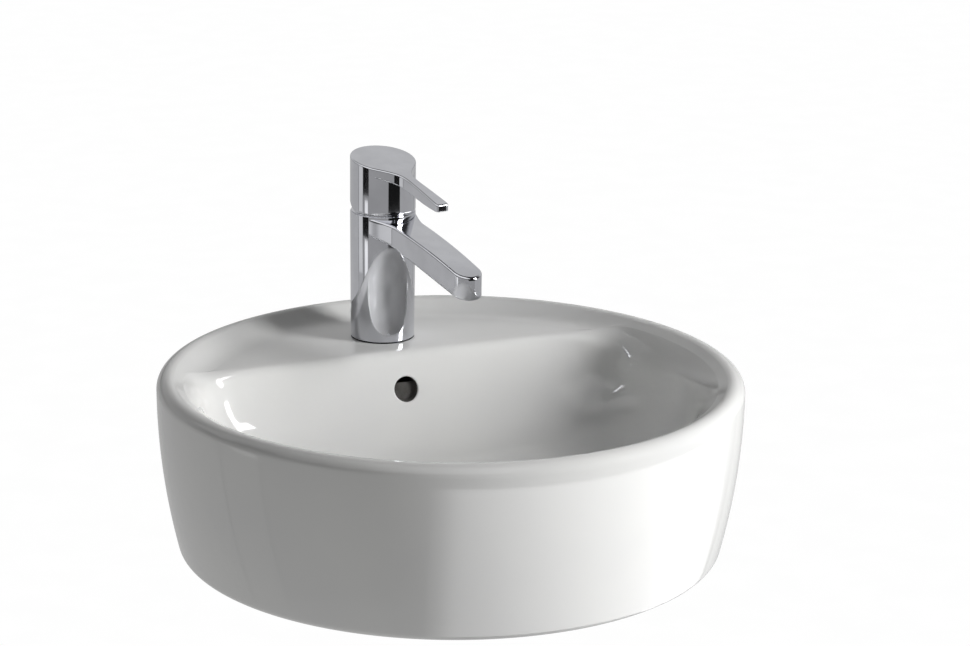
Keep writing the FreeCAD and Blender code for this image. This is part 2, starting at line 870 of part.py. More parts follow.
def make_lever():
    low = pivot_height
    high = low + 2 * cap_rear_top
    under = low - past_face
    past_tip = arm_reach + past_face
    wide = 2 * body_top_radius
    neck = (cap_leave_angle, arm_flank_pull, arm_neck_half_width, arm_neck_reach)
    plan = teardrop(body_top_radius, *neck, arm_tip_half_width, arm_reach + arm_tip_flat, low, high)
    over = bent_prism_x([
        (wide, low + cap_rear_top),
        ((wide - past_tip) / 2, low + cap_bend_top),
        (-past_tip, low + arm_tip_top),
    ], [
        (-past_tip, high + past_face),
        (wide, high + past_face),
    ], wide)
    before = block(-wide, wide, -2 * arm_reach, -arm_reach, under, high + past_face)
    body = plan.cut([over, before])
    crown = max(body.Faces, key=lambda face: face.CenterOfMass.z)
    body = body.makeFillet(arm_edge_rounding, crown.Edges)
    under_arm = bent_prism_x([
        (0, low + arm_root_under),
        (-past_tip / 2, low + arm_bend_under),
        (-past_tip, low + arm_tip_under),
    ], [
        (-past_tip, under),
        (0, under),
    ], wide).cut(cylinder(body_top_radius, under - past_face, high))
    bore = cylinder(cap_inner_radius, under, cap_bore_top)
    behind = prism_x([
        (0, low),
        (wide, low + wide * math.tan(math.radians(cap_relief_angle))),
        (wide, under),
        (0, under),
    ], wide)
    socket_top = cap_bore_top + lever_stem_socket
    socket = cylinder(lever_stem_radius + running_clearance, low, socket_top)
    rear = V(0, wide, screw_height)
    screw = rod(grub_radius + running_clearance, V(0, 0, screw_height), rear)
    cover = rod(cover_radius + running_clearance, V(0, screw_start + grub_length, screw_height), rear)
    return on_tap(body.cut([under_arm, bore, behind, socket, screw, cover]).removeSplitter())


def make_stem():
    ball = Part.makeSphere(ball_radius, V(0, 0, ball_height))
    neck = cylinder(ball_neck_radius, ball_height, pivot_height)
    half = stem_slot_width / 2 - free_clearance
    low, high = pivot_height - stem_cheek, pivot_height + stem_cheek
    hub = block(-half, half, -stem_cheek, stem_cheek, low, high)
    post_top = cap_bore_top + lever_stem_socket - seat_clearance
    post = cylinder(lever_stem_radius, pivot_height, post_top)
    far = 2 * half
    hole = rod(pin_radius + running_clearance, V(-far, 0, pivot_height), V(far, 0, pivot_height))
    return on_tap(hub.fuse([ball, neck, post]).cut(hole).removeSplitter())


def make_grub_screw():
    start = V(0, screw_start, screw_height)
    return on_tap(rod(grub_radius, start, start + V(0, grub_length, 0)))


def make_screw_cover():
    start = V(0, screw_start + grub_length, screw_height)
    plug = rod(cover_radius, start, start + V(0, body_top_radius, 0))
    return on_tap(plug.common(cylinder(body_top_radius, pivot_height, screw_height + body_top_radius)))


nodes = {
    **basin_parts(),
    "waste_body": make_waste_body(),
    "waste_flange_seal": make_waste_flange_seal(),
    "waste_gasket": make_waste_gasket(),
    "waste_back_nut": make_waste_back_nut(),
    "click_body": make_click_body(),
    "click_spring": make_click_spring(),
    "plug_stem": make_plug_stem(),
    "plug_seal": make_plug_seal(),
    "plug_cap": make_plug_cap(),
    "tap_body": make_tap_body(),
    "base_gasket": make_base_gasket(),
    "inlet_bush_cold": make_inlet_bush(1),
    "inlet_bush_hot": make_inlet_bush(-1),
    "aerator_housing": make_aerator_housing(),
    "aerator_insert": make_aerator_insert(),
    "aerator_seal": make_aerator_seal(),
    "fixing_stud": make_fixing_stud(),
    "horseshoe_gasket": make_horseshoe_gasket(),
    "horseshoe_washer": make_horseshoe_washer(),
    "fixing_nut": make_fixing_nut(),
    "cartridge_housing": make_cartridge_housing(),
    "cartridge_seal_cold": make_cartridge_seal(1),
    "cartridge_seal_hot": make_cartridge_seal(-1),
    "fixed_disc": make_fixed_disc(),
    "moving_disc": make_moving_disc(),
    "turning_sleeve": make_turning_sleeve(),
    "pivot_pin": make_pivot_pin(),
    "retaining_nut": make_retaining_nut(),
    "dome_collar": make_dome_collar(),
    "lever": make_lever(),
    "stem": make_stem(),
    "grub_screw": make_grub_screw(),
    "screw_cover": make_screw_cover(),
}

os.makedirs("parts", exist_ok=True)
for name, shape in nodes.items():
    solids = len(shape.Solids)
    print(f"{name:20s} solids {solids} valid {shape.isValid()} volume {shape.Volume / 1000:.3f} cm3")
    shape.exportStep(f"parts/{name}.step")
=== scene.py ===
import bmesh
import bpy
import json
import math
import numpy as np
from mathutils import Matrix


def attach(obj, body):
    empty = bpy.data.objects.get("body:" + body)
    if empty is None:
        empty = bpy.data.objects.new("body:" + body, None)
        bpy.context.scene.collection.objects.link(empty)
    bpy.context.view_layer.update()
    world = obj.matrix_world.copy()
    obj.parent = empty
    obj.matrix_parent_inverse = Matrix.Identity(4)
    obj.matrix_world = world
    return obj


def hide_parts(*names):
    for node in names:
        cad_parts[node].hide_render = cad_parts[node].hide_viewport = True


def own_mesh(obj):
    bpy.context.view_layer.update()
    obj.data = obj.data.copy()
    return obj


# A round glazed basin with its mixer tap. Lengths are in millimetres, as on the drawing,
# and become metres when a mesh is made.

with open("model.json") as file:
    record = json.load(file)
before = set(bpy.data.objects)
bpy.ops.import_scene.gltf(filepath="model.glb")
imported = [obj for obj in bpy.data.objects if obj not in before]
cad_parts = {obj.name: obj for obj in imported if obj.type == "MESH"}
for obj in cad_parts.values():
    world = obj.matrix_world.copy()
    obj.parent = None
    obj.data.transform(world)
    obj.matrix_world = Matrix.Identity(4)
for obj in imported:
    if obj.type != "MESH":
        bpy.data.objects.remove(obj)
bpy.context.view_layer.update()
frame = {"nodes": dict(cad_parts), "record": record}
scene = bpy.context.scene
millimetre = 0.001
past = 1.0  # how far a cutting tool goes beyond the face where it enters
sharpAngle = 32  # degrees of bend past which an edge shades sharp
print("frame loaded with", len(frame["nodes"]), "nodes")


# Quads between neighbouring points of a grid, joined round its columns where wrap is set
def gridQuads(rows, columns, wrap=False):
    index = np.arange(rows * columns).reshape(rows, columns)
    if wrap:
        index = np.hstack([index, index[:, :1]])
    corners = [index[:-1, :-1], index[:-1, 1:], index[1:, 1:], index[1:, :-1]]
    return np.stack(corners, axis=-1).reshape(-1, 4)


# Grid of points with its quads, ready to be one patch of a piece
def gridPatch(points, wrap=False):
    return points.reshape(-1, 3), gridQuads(points.shape[0], points.shape[1], wrap)


# One mesh from patches that share their edges: doubles merged, faces turned outwards,
# smooth but for edges that bend by more than sharp degrees
def pieceFrom(name, patches, sharp=sharpAngle):
    points = np.vstack([points for points, faces in patches]) * millimetre
    starts = np.cumsum([0] + [len(points) for points, faces in patches])
    joined = []
    for (_, faces), start in zip(patches, starts):
        joined += (faces + start).tolist()
    mesh = bpy.data.meshes.new(name)
    mesh.from_pydata(points.tolist(), [], joined)
    work = bmesh.new()
    work.from_mesh(mesh)
    bmesh.ops.remove_doubles(work, verts=work.verts, dist=1e-6)
    bmesh.ops.dissolve_degenerate(work, edges=work.edges, dist=1e-7)
    bmesh.ops.recalc_face_normals(work, faces=work.faces)
    work.to_mesh(mesh)
    work.free()
    piece = bpy.data.objects.new(name, mesh)
    scene.collection.objects.link(piece)
    smoothed(piece, sharp)
    return piece


# Smooth shading, broken at edges that bend by more than the angle
def smoothed(piece, sharp=sharpAngle):
    mesh = piece.data
    mesh.polygons.foreach_set("use_smooth", np.ones(len(mesh.polygons), dtype=bool))
    mesh.set_sharp_from_angle(angle=math.radians(sharp))


# The piece joined to, cut by or kept within a closed tool, which is then gone
def combined(piece, tool, operation):
    change = piece.modifiers.new("combine", "BOOLEAN")
    change.operation = operation
    change.solver = "EXACT"
    change.object = tool
    graph = bpy.context.evaluated_depsgraph_get()
    result = bpy.data.meshes.new_from_object(piece.evaluated_get(graph))
    piece.modifiers.remove(change)
    piece.data = result
    bpy.data.objects.remove(tool)
    smoothed(piece)
    return piece


# A profile of (radius, height) carried round the upright axis; its ends close on the axis or on each other
def turned(profile, count=128, closed=False):
    profile = np.asarray(profile, float)
    if closed:
        profile = np.vstack([profile, profile[:1]])
    turn = np.arange(count) * 2 * np.pi / count
    radius, height = profile[:, :1], profile[:, 1:]
    points = np.stack([radius * np.cos(turn), radius * np.sin(turn), height + 0 * turn], axis=-1)
    return gridPatch(points, wrap=True)


# A run of corners (x, y, rounding): each corner becomes the arc that touches both its sides
def rounded(corners, steps=7):
    corners = np.asarray(corners, float)
    run = [corners[:1, :2]]
    for before, here, after in zip(corners[:-2], corners[1:-1], corners[2:]):
        back = (before - here)[:2] / np.hypot(*(before - here)[:2])
        ahead = (after - here)[:2] / np.hypot(*(after - here)[:2])
        half = math.acos(np.clip(back @ ahead, -1, 1)) / 2
        if here[2] <= 0:
            run.append(here[None, :2])
            continue
        middle = (back + ahead) / np.hypot(*(back + ahead))
        centre = here[:2] + middle * here[2] / math.sin(half)
        sweep = np.linspace(-1, 1, steps)[:, None] * (np.pi / 2 - half)
        across = (ahead - back) / np.hypot(*(ahead - back))
        run.append(centre - here[2] * (np.cos(sweep) * middle - np.sin(sweep) * across))
    run.append(corners[-1:, :2])
    return np.vstack(run)


# An outline of (y, z) carried from -half to +half along x, both ends closed by one flat face
def prismAlong(outline, half):
    outline = np.asarray(outline, float)
    ends = [np.column_stack([np.full(len(outline), x), outline]) for x in (-half, half)]
    face = np.arange(len(outline))[None]
    return [gridPatch(np.stack(ends), wrap=True), (ends[0], face), (ends[1], face[:, ::-1])]


# Upright round bar: a circle carried between two heights, both ends closed on its axis
def upright(radius, low, high, x=0.0, y=0.0, count=96):
    points, quads = turned([(0, low), (radius, low), (radius, high), (0, high)], count)
    return points + np.array([x, y, 0.0]), quads


# The first value moved by a share of the way to the second
def mix(a, b, share):
    return a + (b - a) * share


# Point of a quadratic curve: three poles weighed by (1 - s) squared, 2 s (1 - s) and s squared
def quadratic(a, b, c, s):
    return (1 - s) ** 2 * a + 2 * s * (1 - s) * b + s * s * c


# Point of a cubic curve: the share s of the way from the quadratic curve of its first three poles to that of
# its last three
def cubic(a, b, c, d, s):
    return mix(quadratic(a, b, c, s), quadratic(b, c, d, s), s)


# Three times the square less twice the cube, held between 0 and 1
def eased(share):
    share = np.clip(share, 0, 1)
    return share * share * (3 - 2 * share)


# Camera, found from the rim's ellipse and the tap's edges in the photograph
camera = {
    "place": (-0.7877, -1.8819, 0.7584),
    "azimuth": -23.3767,
    "down": 16.2271,
    "roll": 0.7343,
    "lens": 110.742,
}


# The view's axes: right along the floor, forward and down, up square to both, then rolled about forward
def makeCamera(values):
    azimuth, down, roll = (math.radians(values[key]) for key in ("azimuth", "down", "roll"))
    forward = np.array([
        -math.sin(azimuth) * math.cos(down),
        math.cos(azimuth) * math.cos(down),
        -math.sin(down),
    ])
    right = np.array([math.cos(azimuth), math.sin(azimuth), 0.0])
    up = np.cross(right, forward)
    axisX = math.cos(roll) * right + math.sin(roll) * up
    axisY = math.cos(roll) * up - math.sin(roll) * right
    data = bpy.data.cameras.new("photoCamera")
    data.sensor_fit = "HORIZONTAL"
    data.sensor_width = 36.0
    data.lens = values["lens"]
    data.clip_end = 100.0
    holder = bpy.data.objects.new("photoCamera", data)
    turn = Matrix(np.column_stack([axisX, axisY, -forward]).tolist()).to_4x4()
    holder.matrix_world = Matrix.Translation(values["place"]) @ turn
    scene.collection.objects.link(holder)
    scene.camera = holder


makeCamera(camera)
scene.view_settings.view_transform = "Standard"
print("camera set")


# Materials

# sRGB hex colour to the linear colour that shaders take
def hexColour(code):
    channels = [int(code[k:k + 2], 16) / 255 for k in (1, 3, 5)]
    linear = [c / 12.92 if c <= 0.04045 else ((c + 0.055) / 1.055) ** 2.4 for c in channels]
    return (*linear, 1.0)


# A node with its settings; an input is a value or another node's socket, and a ramp has stops of a
# place and a tone
def addNode(tree, kind, inputs=None, stops=(), **settings):
    node = tree.nodes.new(kind)
    for key, value in settings.items():
        setattr(node, key, value)
    for k, (place, tone) in enumerate(stops):
        node.color_ramp.elements[k].position = place
        node.color_ramp.elements[k].color = hexColour(tone)
    for key, value in (inputs or {}).items():
        if isinstance(value, bpy.types.NodeSocket):
            tree.links.new(value, node.inputs[key])
        else:
            node.inputs[key].default_value = value
    return node


# An empty node tree with Object coordinates, which carry the pattern in metres
def newMaterial(name):
    material = bpy.data.materials.new(name)
    material.use_nodes = True
    tree = material.node_tree
    tree.nodes.clear()
    place = addNode(tree, "ShaderNodeTexCoord").outputs["Object"]
    return material, tree, place


# Finishes, by the record's slots: two tones that drift over a cloud, a grain, how deep the grain is and how
# much of it shows, the least and greatest roughness, and which of the two noises the roughness goes with.
# Cloud and grain are sizes in millimetres with a level of detail. Mould grain, tool marks, satin and polish
# are finer than a pixel in reality, so they are drawn coarser here, as far as they need to show.
finishes = {
    # Vitreous china under a fired white glaze: an even milky white, a clear mirror over it,
    # the faint ripple that a sprayed glaze keeps after firing
    "ceramic_glaze": {
        "name": "firedWhiteGlaze", "tones": ("#ededec", "#f1f1ef"), "cloud": (90.0, 2.0), "grain": (7.0, 1.0),
        "depth": 0.004, "shows": 0.25, "rough": (0.035, 0.06), "veil": "cloud", "ior": 1.52,
    },
    # Brass castings under bright chrome plate: a slightly blue mirror, a little veiled where
    # the polishing wheel left it and where water has dried
    "chrome": {
        "name": "brightChromePlate", "tones": ("#d3d4d9", "#dcdde2"), "cloud": (24.0, 3.0),
        "grain": (1.6, 1.0), "depth": 0.0004, "shows": 0.15, "rough": (0.035, 0.075), "veil": "cloud",
    },
    # Moulded black EPDM rubber, dull with a fine mould grain
    "rubber": {
        "name": "mouldedRubber", "tones": ("#161617", "#202021"), "cloud": (10.8, 2.0), "grain": (0.9, 2.0),
        "depth": 0.02, "shows": 0.4, "rough": (0.6, 0.8), "veil": "grain", "ior": 1.52,
    },
    # Brass turned from bar, warm with light tool marks
    "brass": {
        "name": "turnedBrass", "tones": ("#b08d4c", "#c6a35f"), "cloud": (8.4, 2.0), "grain": (0.7, 2.0),
        "depth": 0.006, "shows": 0.4, "rough": (0.22, 0.36), "veil": "grain",
    },
    # Acetal mouldings, off white and a little waxy
    "white_plastic": {
        "name": "mouldedAcetal", "tones": ("#e2e1da", "#eceae4"), "cloud": (16.8, 2.0), "grain": (1.4, 2.0),
        "depth": 0.008, "shows": 0.4, "rough": (0.32, 0.45), "veil": "grain", "ior": 1.48,
    },
    # Drawn stainless steel, grey with a fine satin
    "steel": {
        "name": "drawnStainless", "tones": ("#9d9ea0", "#b3b4b6"), "cloud": (7.2, 2.0), "grain": (0.6, 2.0),
        "depth": 0.004, "shows": 0.4, "rough": (0.24, 0.36), "veil": "grain",
    },
    # Fired clay without glaze, dull, and coloured dark as painted shade of the deep overflow tunnel and duct
    "bare_clay": {
        "name": "clayPaintedShade", "tones": ("#45433f", "#545250"), "cloud": (9.6, 2.0), "grain": (0.8, 2.0),
        "depth": 0.03, "shows": 0.4, "rough": (0.7, 0.9), "veil": "grain", "ior": 1.5,
    },
    # Lapped alumina, cream white and close to polished
    "disc_ceramic": {
        "name": "lappedAlumina", "tones": ("#ece7da", "#f2eee4"), "cloud": (6.0, 2.0), "grain": (0.5, 2.0),
        "depth": 0.002, "shows": 0.4, "rough": (0.12, 0.2), "veil": "grain", "ior": 1.76,
    },
}
roughSpan = (0.3, 0.7)  # values of a noise between which the roughness runs
toneSpan = (0.35, 0.65)  # and the tones


# One shader: the cloud drives the tone, the grain the bump, and one of the two the roughness.
# A noise's scale is one over its size in metres. A finish without an IOR of its own is a metal.
def makeFinish(values):
    material, tree, place = newMaterial(values["name"])
    noise = {}
    for key in ("cloud", "grain"):
        size, detail = values[key]
        noise[key] = addNode(tree, "ShaderNodeTexNoise", {
            "Vector": place, "Scale": 1 / (size * millimetre), "Detail": detail,
        }).outputs["Fac"]
    bump = addNode(tree, "ShaderNodeBump", {
        "Height": noise["grain"], "Strength": values["shows"], "Distance": values["depth"] * millimetre,
    })
    tone = addNode(tree, "ShaderNodeValToRGB", {"Fac": noise["cloud"]}, stops=zip(toneSpan, values["tones"]))
    rough = addNode(tree, "ShaderNodeMapRange", {
        "Value": noise[values["veil"]], "From Min": roughSpan[0], "From Max": roughSpan[1],
        "To Min": values["rough"][0], "To Max": values["rough"][1],
    })
    substance = {"IOR": values["ior"]} if "ior" in values else {"Metallic": 1.0}
    shader = addNode(tree, "ShaderNodeBsdfPrincipled", {
        **substance, "Base Color": tone.outputs["Color"], "Roughness": rough.outputs["Result"],
        "Normal": bump.outputs["Normal"],
    })
    addNode(tree, "ShaderNodeOutputMaterial", {"Surface": shader.outputs["BSDF"]})
    return material


materials = {slot: makeFinish(values) for slot, values in finishes.items()}
for entry in frame["record"]["subparts"]:
    node = frame["nodes"][entry["node"]]
    node.data.materials.clear()
    node.data.materials.append(materials[entry["material_slot"]])
print("materials made:", len(materials))


# A finished piece gets its material, its body and the nodes that it stands for
def settle(piece, body, slot, *nodes):
    piece.data.materials.clear()
    piece.data.materials.append(materials[slot])
    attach(piece, body)
    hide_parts(*nodes)
    print(piece.name, "made with", len(piece.data.polygons), "faces")


# Basin

basin = {
    "rimRadius": 210.0, "rimHeight": 128.0, "rimSlope": 30.0, "rimBlend": 4.0, "rimOverrun": 3.0,
    "lipRadius": 8.5, "footRadius": 195.0, "footRounding": 7.0, "footInner": 183.0,
    "deckDrop": 10.0, "deckEdgeY": 90.0, "deckRounding": 8.0, "deckEndWidth": 6.6, "deckFullWidth": 15.0,
    "bowlRadius": 176.0, "bowlRoll": 15.0, "brimFall": 10.0, "sideRun": 92.0, "backRun": 58.0,
    "floorHeight": 38.0, "floorFall": 4.0, "powerTop": 16.0, "powerFloor": 5.0, "ledgeShare": 0.3,
    "drainY": -35.0, "drainFlat": 40.0, "drainHole": 23.0, "drainRecess": 32.6, "recessHeight": 34.5,
    "recessSoft": ((0.0, 0.9), (0.25, 0.3), (0.9, 0.0)),  # points of its rounded edge, out and down
    "bossRadius": 35.0, "bossHeight": 16.0, "floorUnder": 26.0, "deckUnder": 106.0,
    "grooveTop": 70.0, "grooveRadius": 192.46, "dishRadius": 120.8,
    "wall": 10.0, "pocketHalf": 109.0, "pocketLean": 3.0, "pocketStep": 23.2, "stepHeight": 40.0,
    "pocketFoot": 40.6, "sideHalfway": 12.0, "sideTop": 22.0,  # sides: from the outer face to the pocket
    "ductHalf": 13.0, "ductDepth": 8.0, "ductFloor": 21.0, "ductWall": 5.0,
    "overflowHeight": 89.5, "overflowRadius": 9.2, "overflowRounding": 1.1, "overflowEnd": 104.0,
    "windowBelow": 17.0, "windowAbove": 16.0, "windowColumns": 9,
    "tapY": 135.5, "tapHole": 17.5, "splineRays": 96, "rays": 384, "bowlRows": 116,
}


# The outer wall is an arc, upright at the widest height and leaning in to the foot. The arc's radius is the
# sum of the squares of its rise and its swell over twice the swell.
def wallRadius(height, b=basin):
    rise = b["rimHeight"] - b["lipRadius"]
    swell = b["rimRadius"] - b["footRadius"]
    bend = (rise * rise + swell * swell) / (2 * swell)
    return b["rimRadius"] - bend + np.sqrt(bend * bend - (rise - height) ** 2)


# Distance from the drain, along a ray, to a circle about the basin's centre: the root of the radius squared
# less the drain's offset across the ray squared, less its offset along the ray
def circleReach(turn, radius, b=basin):
    drainY = b["drainY"]
    return np.sqrt(radius ** 2 - (drainY * np.cos(turn)) ** 2) - drainY * np.sin(turn)


# Distance to a circle cut off by a straight chord. The sum of both distances to a negative power, taken back
# by its root, rounds the corners as a superellipse does.
def bowlReach(turn, radius, chordY, power, b=basin):
    around = circleReach(turn, radius)
    across = (chordY - b["drainY"]) / np.maximum(np.sin(turn), 1e-6)
    return np.where(np.sin(turn) > 0, (around ** -power + across ** -power) ** (-1 / power), around)


# Radius and height where the lip's circle leaves the sloping inner face of the rim, its tangent there
def rimJoin(b=basin):
    lean = math.radians(b["rimSlope"])
    radius = b["rimRadius"] - b["lipRadius"] * (1 + math.sin(lean))
    return radius, b["rimHeight"] - b["lipRadius"] * (1 - math.cos(lean))


# Height behind the bowl: the higher of the level deck and the rim's cone, joined by a parabola
def ledgeHeight(radius, b=basin):
    deck = b["rimHeight"] - b["deckDrop"]
    joinRadius, joinHeight = rimJoin()
    cone = joinHeight + (radius - joinRadius) * math.tan(math.radians(b["rimSlope"]))
    near = np.maximum(b["rimBlend"] - np.abs(cone - deck), 0)
    return np.maximum(cone, deck) + near * near / (4 * b["rimBlend"])


# Spline poles of the inside, a row each: a shallow parabola out from the drain, a quarter ellipse up the
# wall, a quarter circle over the brim, then the deck and the rim's cone
def bowlPoles(b=basin):
    turn = np.arange(b["splineRays"]) * 2 * np.pi / b["splineRays"]
    joinRadius, joinHeight = rimJoin()
    slope = math.tan(math.radians(b["rimSlope"]))
    deck = b["rimHeight"] - b["deckDrop"]
    brim = bowlReach(turn, b["bowlRadius"], b["deckEdgeY"], b["powerTop"])
    foot = circleReach(turn, joinRadius - (joinHeight - deck) / slope)
    crest = circleReach(turn, joinRadius)
    openDeck = eased((foot - brim - b["deckEndWidth"]) / (b["deckFullWidth"] - b["deckEndWidth"]))
    brimHeight = deck - b["deckRounding"] - b["brimFall"] * (1 - openDeck)
    floorEdge = b["floorHeight"] + b["floorFall"]
    rows = []
    for angle in np.radians((90, 72, 54, 36, 18, 0)):
        run = 1 - math.cos(angle)
        reach = bowlReach(turn, b["bowlRadius"] - b["sideRun"] * run, b["deckEdgeY"] - b["backRun"] * run,
                          mix(b["powerTop"], b["powerFloor"], run))
        rows.append((reach, mix(brimHeight, floorEdge, math.sin(angle))))
    floorRows = []
    for share in (0.0, 0.33, 0.66):
        floorLevel = b["floorHeight"] + b["floorFall"] * share ** 2
        floorRows.append((mix(b["drainFlat"], rows[0][0], share), floorLevel + 0 * turn))

    # Height at a reach along each ray, from its radius about the basin's centre
    def heightAt(reach):
        return ledgeHeight(np.hypot(reach * np.cos(turn), b["drainY"] + reach * np.sin(turn)))

    roll = mix(b["bowlRoll"], b["deckRounding"], openDeck)
    tilt = slope * (1 - openDeck)
    inner = brim + roll
    rise = heightAt(inner) - brimHeight - tilt * roll
    for angle in np.radians((30, 60, 90)):
        run = roll * (1 - math.cos(angle))
        rows.append((brim + run, brimHeight + rise * math.sin(angle) + tilt * run))
    level = circleReach(turn, joinRadius - (joinHeight - deck + b["rimBlend"]) / slope)
    back = mix(mix(inner, crest, b["ledgeShare"]), level, openDeck)
    outward = [mix(inner, back, share) for share in (0.35, 0.7, 0.9)]
    outward += [mix(back, crest, share) for share in (0.0, 0.25, 0.5, 0.75, 1.0)]
    outward += [circleReach(turn, joinRadius + over * b["rimOverrun"]) for over in (1, 2)]
    rows += [(reach, heightAt(reach)) for reach in outward]
    reach = np.array([row[0] for row in floorRows + rows])
    height = np.array([row[1] for row in floorRows + rows])
    return np.stack([reach * np.cos(turn), b["drainY"] + reach * np.sin(turn), height], axis=-1)


# Weights of a clamped cubic spline, built up from boxes by the usual recurrence over its knots
def clampedWeights(place, count):
    knots = np.concatenate([np.zeros(3), np.arange(count - 2), np.full(3, count - 3)]).astype(float)
    place = np.clip(place, 0, count - 3 - 1e-9)[..., None]
    weights = ((place >= knots[:-1]) & (place < knots[1:])).astype(float)
    for degree in (1, 2, 3):
        low, high = knots[:-degree - 1], knots[degree:-1]
        nextLow, nextHigh = knots[1:-degree], knots[degree + 1:]
        rise = (place - low) / np.where(high > low, high - low, 1)
        fall = (nextHigh - place) / np.where(nextHigh > nextLow, nextHigh - nextLow, 1)
        weights = rise * weights[..., :-1] + fall * weights[..., 1:]
    return weights


poles = bowlPoles()
polesByRay = np.ascontiguousarray(poles.transpose(1, 0, 2))


# Point of the inside: clamped cubic up the section, closed uniform cubic round the rays
def bowlPoint(place, turn):
    rays, rowCount = polesByRay.shape[:2]
    ray = turn / (2 * np.pi) * rays
    first = np.floor(ray).astype(int)
    f = (ray - first)[..., None, None]
    parts = ((1 - f) ** 3, 3 * f ** 3 - 6 * f ** 2 + 4, -3 * f ** 3 + 3 * f ** 2 + 3 * f + 1, f ** 3)
    section = sum(part / 6 * polesByRay[(first + k - 1) % rays] for k, part in enumerate(parts))
    return np.einsum("...r,...rc->...c", clampedWeights(place, rowCount), section)


# Where the inside reaches a radius about the basin's centre, for each ray: a straight step between the
# samples before and behind it, over the last spans of the spline
def placesAt(radius, turn, spans=6, samples=500):
    top = poles.shape[0] - 3
    place = np.linspace(top - spans, top, samples)[:, None] + 0 * turn
    points = bowlPoint(place, turn + 0 * place)
    short = np.hypot(points[..., 0], points[..., 1]) - radius
    hit = np.argmax(short >= 0, axis=0)
    column = np.arange(len(turn))
    low, high = short[hit - 1, column], short[hit, column]
    return mix(place[hit - 1, column], place[hit, column], -low / (high - low))


# Overflow: the wall's grid is left open over a window and joined there to a ring about the hole.
# Each ring point is found on the wall by steps in (place, turn), each of them what is missing in x and z over
# the wall's slopes there.
def overflowPatches(place, turn, points, rowRange, columnRange, b=basin):
    (low, high), (left, right) = rowRange, columnRange
    width, depth = right - left, high - low
    rowIndex = np.concatenate([
        np.full(width, low), np.arange(low, high), np.full(width, high), np.arange(high, low, -1),
    ])
    columnIndex = np.concatenate([
        np.arange(left, right), np.full(depth, right), np.arange(right, left, -1), np.full(depth, left),
    ])
    edge = points[rowIndex, columnIndex]
    angle = np.arctan2(edge[:, 2] - b["overflowHeight"], edge[:, 0])
    hole = np.stack([np.cos(angle), np.sin(angle)], axis=-1)
    middle = np.array([0.0, b["overflowHeight"]])
    outer = edge[:, [0, 2]] - middle
    rim = hole * (b["overflowRadius"] + b["overflowRounding"])
    share = np.linspace(0, 1, 9)[:, None, None]
    wanted = middle + np.concatenate([mix(outer, rim, share), hole[None] * b["overflowRadius"]])
    u = np.repeat(place[rowIndex, columnIndex][None], len(wanted), axis=0)
    t = np.repeat(turn[columnIndex][None], len(wanted), axis=0)
    step = 1e-4
    for k in range(12):
        here = bowlPoint(u, t)
        alongU = (bowlPoint(u + step, t) - here)[..., [0, 2]] / step
        alongT = (bowlPoint(u, t + step) - here)[..., [0, 2]] / step
        miss = wanted - here[..., [0, 2]]
        area = alongU[..., 0] * alongT[..., 1] - alongU[..., 1] * alongT[..., 0]
        u = u + (miss[..., 0] * alongT[..., 1] - miss[..., 1] * alongT[..., 0]) / area
        t = t + (alongU[..., 0] * miss[..., 1] - alongU[..., 1] * miss[..., 0]) / area
    onWall = bowlPoint(u, t)
    onWall[0] = edge
    corner, start = onWall[-1], onWall[-2]
    end = corner + np.array([0.0, b["overflowRounding"], 0.0])
    s = np.linspace(0, 1, 8)[1:, None, None]
    pull = 0.56  # makes the cubic come close to a quarter circle
    first, second = mix(start, corner, pull), mix(end, corner, pull)
    bend = cubic(start, first, second, end, s)
    far = end.copy()
    far[:, 1] = b["overflowEnd"]
    centre = far * 0 + np.array([0.0, b["overflowEnd"], b["overflowHeight"]])
    tunnel = np.stack([mix(end, far, 0.1), mix(end, far, 0.5), far, centre])
    return gridPatch(np.concatenate([onWall[:-1], bend, tunnel]), wrap=True)


